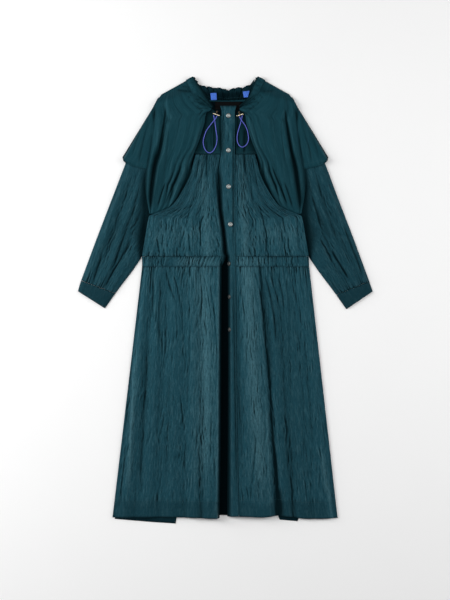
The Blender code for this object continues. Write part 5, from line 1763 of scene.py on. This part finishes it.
RIGHT_CAPE_CREASES = crumple(
    (2.6, 1.6, 0.5, 163.5, 547.5, 170, 497.5, 179, 447, 187.5, 402),
    (8.5, 3, 1, 182.5, 424.5, 189, 385.5, 197, 346, 203, 309.5, 207.5, 279, 210, 239.5),
    (6, 0, 0.5, 209.5, 447, 215.5, 391, 221, 335, 220, 279, 211.5, 239.5),
    (4.2, 1.4, 0.85, 192, 550.5, 199, 508.5, 206, 463.5, 210.5, 424.5, 211.5, 399.5),
    (2.4, 2, 0.8, 125.5, 382.5, 139.5, 346, 156, 307, 174.5, 259.5),
    (2.6, 2, 0.5, 161.5, 335, 175.5, 295.5, 188.5, 253.5),
    (6.2, 1.2, 1, 82.5, 419, 94, 377, 103, 343.5, 118.5, 309.5, 133, 282.5, 156, 259.5),
    (3.4, -1.6, -0.4, 103, 396.5, 115, 360, 129, 329.5, 146.5, 287.5, 166, 256.5),
    (2.6, -1.2, 0, 174.5, 525.5, 184, 461, 194, 396.5),
    (2.4, 0.8, 0.12, 153.5, 508.5, 158, 447, 167.5, 377),
    (2.6, 1.2, 0.55, 86, 585.5, 111.5, 584, 139.5, 585.5),
    (1.7, 1, 0.5, 42.5, 532.5, 58, 535, 80.5, 533.5),
    (1.8, 1, 0.5, 43, 525.5, 58, 519.5, 75, 497.5),
    (1.5, 0.9, 0.4, 52.5, 542, 66.5, 549, 89, 553.5),
    (2, 0.8, 0.2, 86, 595.5, 105.5, 593.5, 125.5, 588.5),
    (1.4, 0.9, 0.3, 114, 578.5, 100, 592.5, 89, 598),
    (1.4, 0.9, 0.3, 105.5, 561.5, 94.5, 573, 80.5, 578.5),
    (1.4, 0.9, 0.3, 94.5, 547.5, 83.5, 557.5, 72, 564.5),
    (1.4, 0.9, 0.3, 83.5, 531, 75, 542, 63.5, 550.5),
    (5, -0.6, -0.45, 61, 525.5, 77.5, 461, 100, 391, 125.5, 329.5, 170, 253.5),
)
COVER_CREASES = crumple(
    (4, 1.4, 0.2, -210.5, 531, -222, 475, -236, 419, -244.5, 374),
    (3.5, 1, 0.12, -230.5, 491.5, -250, 441.5, -264, 391),
    (3, 1.2, 0.25, -205, 475, -210.5, 424.5, -222, 368.5),
    (1.6, 0.5, 0.25, -285, 391, -252.5, 375, -213.5, 368.5),
    (3.2, 0, 1, -293, 405, -287.5, 390, -272.5, 378),
)


# ---- the neck


@dataclass
class Neck(Tailor):
    """Gathered casings round the neck, the bare patch behind them and two folded tapes."""

    back_gathers: int = 14
    front_gathers: int = 7
    front_height: float = 6.0
    front_middle: float = 8.6
    neck_edge: Path = (
        (-89.5, 625.5), (-80.5, 612), (-66, 589.5), (-54.5, 573.5), (-43.5, 555), (-34.5, 543),
    )
    neck_edge_right: Path = (
        (88, 625.5), (81.5, 612), (75.5, 594), (68, 577), (55.5, 560), (37.5, 543),
    )
    casing_edge: Path = (
        (-112, 615), (-96, 585), (-79.5, 562), (-63.5, 549.5), (-49.5, 541.5), (-38, 536.5),
    )
    casing_edge_right: Path = (
        (110.5, 615), (95.5, 585), (79, 562), (62.5, 549.5), (48.5, 541.5), (37.5, 536.5),
    )
    back_top: Path = (
        (-83, 616), (-74, 602.5), (-66, 599), (-47, 596), (-29.5, 593), (-7, 591),
        (6.5, 586.5), (24.5, 592.5), (48.5, 594.5), (67.5, 602.5), (81, 617),
    )
    back_seam: Path = ((-65, 563), (-34.5, 559), (-0.5, 558), (33, 559), (63.5, 563))

    def back(self, across: Array, down: Array) -> Places:
        """Scalloped top edge, gathered by a cosine that shallows towards the seam."""
        top, seam = trace(self.back_top, across), trace(self.back_seam, across)
        sway = 0.9 * lattice_noise(across * 7, across * 0 + 0.5, 203)
        wave = np.abs(np.sin(np.pi * (self.back_gathers * 0.6 * across + sway)))
        fine = 1 - 2 * np.abs(2 * lattice_noise(across * 60, down * 2.2, 201) - 1)
        x = top[..., 0] * (1 - down) + seam[..., 0] * down
        scallop = (2.6 * wave - 1.4 + 0.5 * fine) * (1 - down)
        y = top[..., 1] * (1 - down) + seam[..., 1] * down + scallop
        return x, y, 6.0 + 2.2 * (wave - 0.5) * (1 - 0.5 * down) + 1.1 * fine

    def front(self, side: Side) -> Surface:
        """A casing arched from the neck's edge to the cape, ruched along its length."""
        inner = side.pick(self.neck_edge, self.neck_edge_right)
        outer = side.pick(self.casing_edge, self.casing_edge_right)

        def casing(across: Array, down: Array) -> Places:
            """Arch plus a cosine for each gather, with finer ones that ruffle the neck's edge."""
            spread = side.pick(1 - across, across)
            sway = 0.5 * lattice_noise(down * 5, across * 0 + 0.5, 211)
            wave = np.cos(2 * np.pi * self.front_gathers * (down + 0.05 * sway))
            ruche = lattice_noise(down * 46 + 2 * sway, spread * 2.4, side.pick(207, 209))
            fine = 1 - 2 * np.abs(2 * ruche - 1)
            place = spread + (0.05 * wave + 0.07 * fine) * (1 - spread) ** 2
            share = place[..., None]
            point = trace(inner, down) * (1 - share) + trace(outer, down) * share
            outer_top = self.front_height + 5.8 * ease(down / 0.42)
            arch = self.front_middle + (outer_top - self.front_middle) * spread
            arch = arch + 3.4 * np.sin(np.pi * np.clip(spread, 0, 1))
            return point[..., 0], point[..., 1], arch + 0.7 * wave + 1.0 * fine * (1 - 0.5 * spread)

        return casing

    def make(self) -> None:
        """The back casing, both front casings, the patch and the tapes."""
        back = Panel(
            "neck_casing_back", self.back, (210.0, 34.0), (220, 16), reach=4,
            # Painted shade all over the back casing, deeper towards its lower seam.
            added_shade=darkening(0.45, 589.5, 16.0, 0.28),
        )
        self.lay(back, "shaded_nylon", ["cape_back"], 1.0, (row_across(0.02, 0.98, 0.8),))
        for side in Side:
            front = Panel(
                f"neck_casing_{side}", self.front(side), (26.0, 110.0), (24, 200), reach=3,
                creases=side.pick(LEFT_NECK_CREASES, RIGHT_NECK_CREASES),
                # Painted shade towards the casings' lower ends.
                added_shade=darkening(0.40, 592.5, 40.0),
            )
            self.lay(front, "smooth_nylon", [f"yoke_{side}", f"cape_front_{side}"], 1.0)
        strips = (
            ("neck_patch", "black_tape", ((-30, 555), (44, 555), (44, 532.5), (-30, 532.5)),
             4.6, 0.3, 0.8),
            ("tape_left", "blue_tape", ((-43, 578), (-26, 578.5), (-25, 559), (-41, 558.5)),
             9.6, 0.5, 0.9),
            ("tape_right", "blue_tape", ((47.5, 582.5), (66.5, 584.5), (62, 566.5), (50.5, 565.5)),
             9.6, 0.5, 0.9),
        )
        for strip in strips:
            self.make_strip(*strip)

    def make_strip(self, node: str, slot: str, corners: Path, top: float, arch: float,
                   wall: float) -> None:
        """A short length of tape between four corners, slightly arched.

        Args:
            node: the CAD node that it stands for.
            slot: the name of its finish.
            corners: upper left, upper right, lower right and lower left.
            top: the height of its sides.
            arch: how much its middle stands above them.
            wall: its thickness.
        """
        places = (np.asarray(corner) for corner in corners)
        upper_left, upper_right, lower_right, lower_left = places
        width = float(np.linalg.norm(upper_right - upper_left))
        length = float(np.linalg.norm(lower_left - upper_left))

        def patch(across: Array, down: Array) -> Places:
            """The four corners joined by straight lines, with an arch of 4 a (1 - a)."""
            share, drop = across[..., None], down[..., None]
            point = (upper_left * (1 - share) + upper_right * share) * (1 - drop)
            point = point + (lower_left * (1 - share) + lower_right * share) * drop
            return point[..., 0], point[..., 1], top + arch * 4 * across * (1 - across)

        panel = Panel(node, patch, (width, length), (20, 20), wall=wall, reach=0)
        rows = tuple(row_across(0.08, 0.92, down) for down in (0.06, 0.94))
        self.lay(panel, slot, ["neck_casing_back"], 1.0, rows, thread=slot)


LEFT_NECK_CREASES = crumple(
    (1.3, 0.8, 0.7, -34.5, 539.5, -48.5, 559, -65, 578.5),
    (1.3, 0.8, 0.6, -38.5, 536.5, -59.5, 554.5, -82, 573),
    (6, 0, 1, -104.5, 654, -76.5, 603.5, -48.5, 564.5, -3.5, 497.5),
)
RIGHT_NECK_CREASES = crumple(
    (1.3, 0.8, 0.7, 34, 539.5, 47, 559, 63.5, 578.5),
    (1.3, 0.8, 0.6, 38.5, 536.5, 59.5, 554.5, 80.5, 573),
    (6, 0, 1, 103, 654, 76.5, 603.5, 55.5, 564.5, 7.5, 497.5),
)


# ---- fittings


def revolve(name: str, profile: Array, start: Vector, axis: Vector, sides: int,
            material: Material) -> Object:
    """A turned piece: each (radius, distance) of its profile carried round the axis.

    Args:
        name: the object's name.
        profile: radii and distances along the axis in millimetres, closed on the axis at
            both ends.
        start: where distance 0 lies, in millimetres.
        axis: the direction of the axis.
        sides: facets round it.
        material: its finish.

    Returns:
        The new object, its poles merged and its faces turned outwards.
    """
    forward = np.array(axis.normalized())
    helper = np.array((1.0, 0.0, 0.0)) if abs(forward[0]) < 0.9 else np.array((0.0, 1.0, 0.0))
    beside = np.cross(forward, helper)
    beside = beside / np.linalg.norm(beside)
    above = np.cross(forward, beside)
    turn = np.linspace(0.0, 2 * np.pi, sides, endpoint=False)
    ring = np.cos(turn)[:, None] * beside + np.sin(turn)[:, None] * above
    radius, reach = profile[:, 0, None, None], profile[:, 1, None, None]
    points = np.array(start) + reach * forward + radius * ring[None]
    faces = join(len(profile), sides)[:, [0, 3, 2, 1]]
    return close_up(add_mesh(name, points, faces.tolist(), material))


@dataclass
class Snaps:
    """Seven press snaps: four face up, three edge on where the placket turns into the fold."""

    finishes: dict[str, Material]
    gap: float = 0.3
    sides: int = 48
    flat: Path = ((7.5, 515), (7.5, 418), (8, 316.5), (13, 211))
    on_wall: tuple[float, ...] = (101, 8.5, -83)
    towards_rim: float = 0.8
    cap: tuple[Pair, ...] = (
        (0.0, 1.75), (1.6, 1.75), (2.7, 1.85), (3.5, 2.15), (4.2, 2.3), (4.9, 2.15), (5.5, 1.85),
        (6.1, 1.35), (6.45, 0.8), (6.5, 0.35), (6.35, 0.05), (6.0, -0.1), (0.0, -0.1),
    )

    def make(self) -> None:
        """Turn each snap at its place on the placket."""
        places = []
        for x, y in self.flat:
            height = max(float(section(y, RIM_TOP)), float(section(y, RIGHT_TOP))) + self.gap
            places.append((Vector((x, y, height)), Vector((0, 0, 1))))
        for y in self.on_wall:
            columns = (SECTION_LEFT, SECTION_RIM, FOOT_TOP, RIM_TOP)
            left, rim, foot, top = (float(section(y, column)) for column in columns)
            slope = Vector((rim - left, 0.0, top - foot)).normalized()
            outward = Vector((-slope.z, 0.0, slope.x))
            middle = Vector(((left + rim) / 2, y, (foot + top) / 2))
            places.append((middle + slope * self.towards_rim + outward * (self.gap + 0.1), outward))
        for number, (place, outward) in enumerate(places, 1):
            name, profile = f"metal_snap_{number}", np.array(self.cap)
            snap = revolve(name, profile, place, outward, self.sides, self.finishes["snap_metal"])
            settle(snap, "snap_metal", f"snap_{number}")


@dataclass
class Drawcord:
    """A free loop of limp cord and the lock that it passes through."""

    finishes: dict[str, Material]
    side: Side
    diameter: float = 2.2
    steps: int = 220
    sides: int = 16
    end_round: float = 1.2
    gap: float = 0.4
    bar_radius: float = 1.9
    bar_length: float = 20.5
    bar_round: float = 1.3
    spring_radius: float = 2.9
    spring_length: float = 8.0
    coils: int = 6
    lock_sides: int = 24
    left_route: Path = (
        (-24.2, 514.8, 9.4), (-26.2, 510.7, 9.6), (-29.8, 504.8, 12.6), (-36.5, 496.7, 11.2),
        (-46.3, 484.4, 9.4), (-54.7, 472.1, 9.3), (-59.2, 459.8, 9.3), (-62.6, 447.4, 9.3),
        (-62.6, 435.1, 9.3), (-58.9, 422.8, 9.3), (-52.8, 414.4, 9.3), (-44.9, 410.8, 9.3),
        (-37.1, 415, 9.3), (-29.8, 425.6, 9.3), (-25.3, 439.6, 9.3), (-24.5, 454.7, 9.3),
        (-26.7, 469.8, 9.3), (-28.7, 483.8, 9.3), (-30.4, 497.6, 9.1), (-32.6, 509.6, 9.2),
        (-34.3, 517, 9.4),
    )
    right_route: Path = (
        (37.4, 513.4, 9.4), (39.6, 509.6, 9.6), (43, 503.2, 12.6), (48.6, 495.6, 11.2),
        (55, 486.1, 9.4), (60.1, 474.3, 9.3), (62.6, 462, 9.3), (63.7, 450.8, 9.3),
        (61.5, 440.2, 9.3), (55, 431.2, 9.3), (45.8, 427.3, 9.3), (37.7, 431.8, 9.3),
        (32.9, 441.8, 9.3), (31.8, 454.7, 9.3), (33.7, 468.2, 9.3), (37.7, 482.2, 9.3),
        (42.1, 496.2, 9.1), (44.9, 507.9, 9.2), (46.3, 515.9, 9.4),
    )
    lock_left: Path = ((-36.5, 521.5), (-17, 515))
    lock_right: Path = ((30, 513.5), (49.5, 520))

    def make_cord(self) -> None:
        """A round tube carried along the route, with rounded ends.

        Each ring's centre is on the route; its axes are the route's direction crossed with
        the vertical, and that axis crossed with the direction.
        """
        line = trace(self.side.pick(self.left_route, self.right_route), fractions(self.steps))
        run = np.concatenate(([0.0], np.cumsum(np.linalg.norm(np.diff(line, axis=0), axis=1))))
        along = np.gradient(line, run, axis=0)
        along = along / np.linalg.norm(along, axis=1, keepdims=True)
        beside = np.cross(along, np.array([0.0, 0.0, 1.0]))
        beside = beside / np.linalg.norm(beside, axis=1, keepdims=True)
        above = np.cross(beside, along)
        turn = np.linspace(0.0, 2 * np.pi, self.sides, endpoint=False)[:, None]
        from_end = np.minimum(run, run[-1] - run)
        radius = self.diameter / 2 * quarter(from_end / self.end_round, 0.99)
        ring = np.cos(turn) * beside[:, None] + np.sin(turn) * above[:, None]
        points = line[:, None] + ring * radius[:, None, None]
        count = self.steps * self.sides
        caps = [list(range(self.sides)), list(range(count - self.sides, count))[::-1]]
        girth = math.pi * self.diameter / self.sides
        at = corners(self.steps, self.sides, closed=True)
        places = np.stack([stack(c * girth, run[r]) for r, c in at], axis=2)
        places = np.concatenate((places.reshape(-1, 2), np.zeros((2 * self.sides, 2))))
        faces = join(self.steps, self.sides).tolist() + caps
        name = f"cord_{self.side}"
        cord = close_up(add_mesh(name, points, faces, self.finishes["blue_cord"], places))
        settle(cord, "blue_cord", f"drawcord_{self.side}")
        log.info("%s is %.1f mm long", name, run[-1])

    def make_lock(self) -> None:
        """A cross bar with rounded ends and a grooved middle, and the ribbed spring above it."""
        start, end = self.side.pick(self.lock_left, self.lock_right)
        height = YOKE_TOP + self.gap + self.bar_radius
        first, last = Vector((*start, height)), Vector((*end, height))
        along = (last - first).normalized()
        up_coat = Vector((-along.y, along.x, 0.0))
        middle = (first + last) / 2
        length, reach = self.bar_length, fractions(60)
        round_end = quarter(np.minimum(reach, 1 - reach) * length / self.bar_round)
        neck = 0.22 * np.exp(-(((reach - 0.5) / 0.05) ** 2))
        rings = 0.10 * np.exp(-(((np.abs(reach - 0.5) - 0.33) / 0.02) ** 2))
        bar = stack(self.bar_radius * round_end * (1 - neck - rings), reach * length)
        self.turn_piece("bar", bar, middle - along * length / 2, along)
        base = middle + up_coat * (self.bar_radius + self.gap)
        base.z = YOKE_TOP + self.gap + self.spring_radius
        way = fractions(90)
        coils = 1 - 0.13 * (0.5 + 0.5 * np.cos(2 * np.pi * self.coils * way))
        shut = np.clip(np.minimum(way, 1 - way) / 0.02, 0.0, 1.0)
        spring = stack(self.spring_radius * coils * shut, way * self.spring_length)
        self.turn_piece("spring", spring, base, up_coat)

    def turn_piece(self, kind: str, profile: Array, start: Vector, axis: Vector) -> None:
        """One turned piece of the lock, from where its profile starts, along its axis."""
        name, slot = f"{kind}_{self.side}", f"{kind}_metal"
        piece = revolve(f"metal_{name}", profile, start, axis, self.lock_sides, self.finishes[slot])
        settle(piece, slot, f"lock_{name}")


# ---- the studio


@dataclass(frozen=True)
class Softbox:
    """A square lamp that faces a point of the coat."""

    name: str
    place: Triple
    aim: Triple
    size: Pair
    power: float

    def make(self) -> None:
        """Hang the lamp at its place, turned to its aim."""
        data = bpy.data.lights.new(self.name, "AREA")
        data.shape = "RECTANGLE"
        data.size, data.size_y = self.size
        data.energy = self.power
        lamp = put(self.name, data)
        lamp.location = self.place
        sight = Vector(self.aim) - Vector(self.place)
        lamp.rotation_euler = sight.to_track_quat("-Z", "Y").to_euler()


@dataclass
class Studio:
    """A pale floor, soft lamps and a camera straight above the coat."""

    finishes: dict[str, Material]
    camera_height: float = 4.0
    view_height: float = 1.6765
    centre: Pair = (-0.0021, -0.0002)
    focus_height: float = 0.010
    sensor: float = 36.0
    floor_size: float = 12000.0
    floor_drop: float = 0.3
    sky: float = 0.26
    lamps: tuple[Softbox, ...] = (
        Softbox("lamp_left", (-2.4, 0.5, 1.4), (0.0, 0.0, 0.0), (0.9, 2.2), 66.0),
        Softbox("lamp_right", (2.4, 0.3, 1.4), (0.0, 0.0, 0.0), (0.9, 2.2), 30.0),
        Softbox("lamp_above", (0.0, 0.8, 4.6), (0.0, 0.0, 0.0), (1.6, 1.6), 50.0),
    )

    def make_camera(self) -> None:
        """Look straight down with a lens that frames the view's height."""
        data = bpy.data.cameras.new("camera")
        data.sensor_width = self.sensor
        data.lens = self.sensor * (self.camera_height - self.focus_height) / self.view_height
        camera = put("camera", data)
        camera.location = (*self.centre, self.camera_height)
        bpy.context.scene.camera = camera

    def make_surroundings(self) -> None:
        """The floor, the lamps and an even sky."""
        half, low = self.floor_size / 2, -self.floor_drop
        ends = ((-half, -half), (half, -half), (half, half), (-half, half))
        points = np.array([(x, y, low) for x, y in ends])
        add_mesh("floor", points, [(0, 1, 2, 3)], self.finishes[STUDIO_FLOOR])
        for lamp in self.lamps:
            lamp.make()
        world = bpy.data.worlds.new("studio")
        bpy.context.scene.world = world
        world.use_nodes = True
        sky = world.node_tree.nodes["Background"]
        sky.inputs["Color"].default_value = (1.0, 1.0, 1.0, 1.0)
        sky.inputs["Strength"].default_value = self.sky
        bpy.context.scene.view_settings.view_transform = "Standard"


def main() -> None:
    """Build the studio, the cords, the cloth and the fittings."""
    logging.basicConfig(level=logging.INFO, format="%(name)s: %(message)s")
    finishes = {finish.name: finish.make() for finish in FINISHES}
    studio = Studio(finishes)
    studio.make_camera()
    for side in Side:
        drawcord = Drawcord(finishes, side)
        drawcord.make_cord()
        drawcord.make_lock()
    skirt = Skirt(finishes)
    skirt.make_back()
    bodice = Bodice(finishes, skirt)
    bodice.make_back()
    for side in Side:
        Sleeve(finishes, side).make()
        skirt.make_front(side)
        bodice.make_bib(side)
    bodice.make_yokes()
    bodice.make_casings()
    Placket(finishes).make()
    cape = Cape(finishes)
    cape.make_back()
    cape.make_drapes()
    cape.make_covers()
    Neck(finishes).make()
    Snaps(finishes).make()
    studio.make_surroundings()


if __name__ == "__main__":
    main()
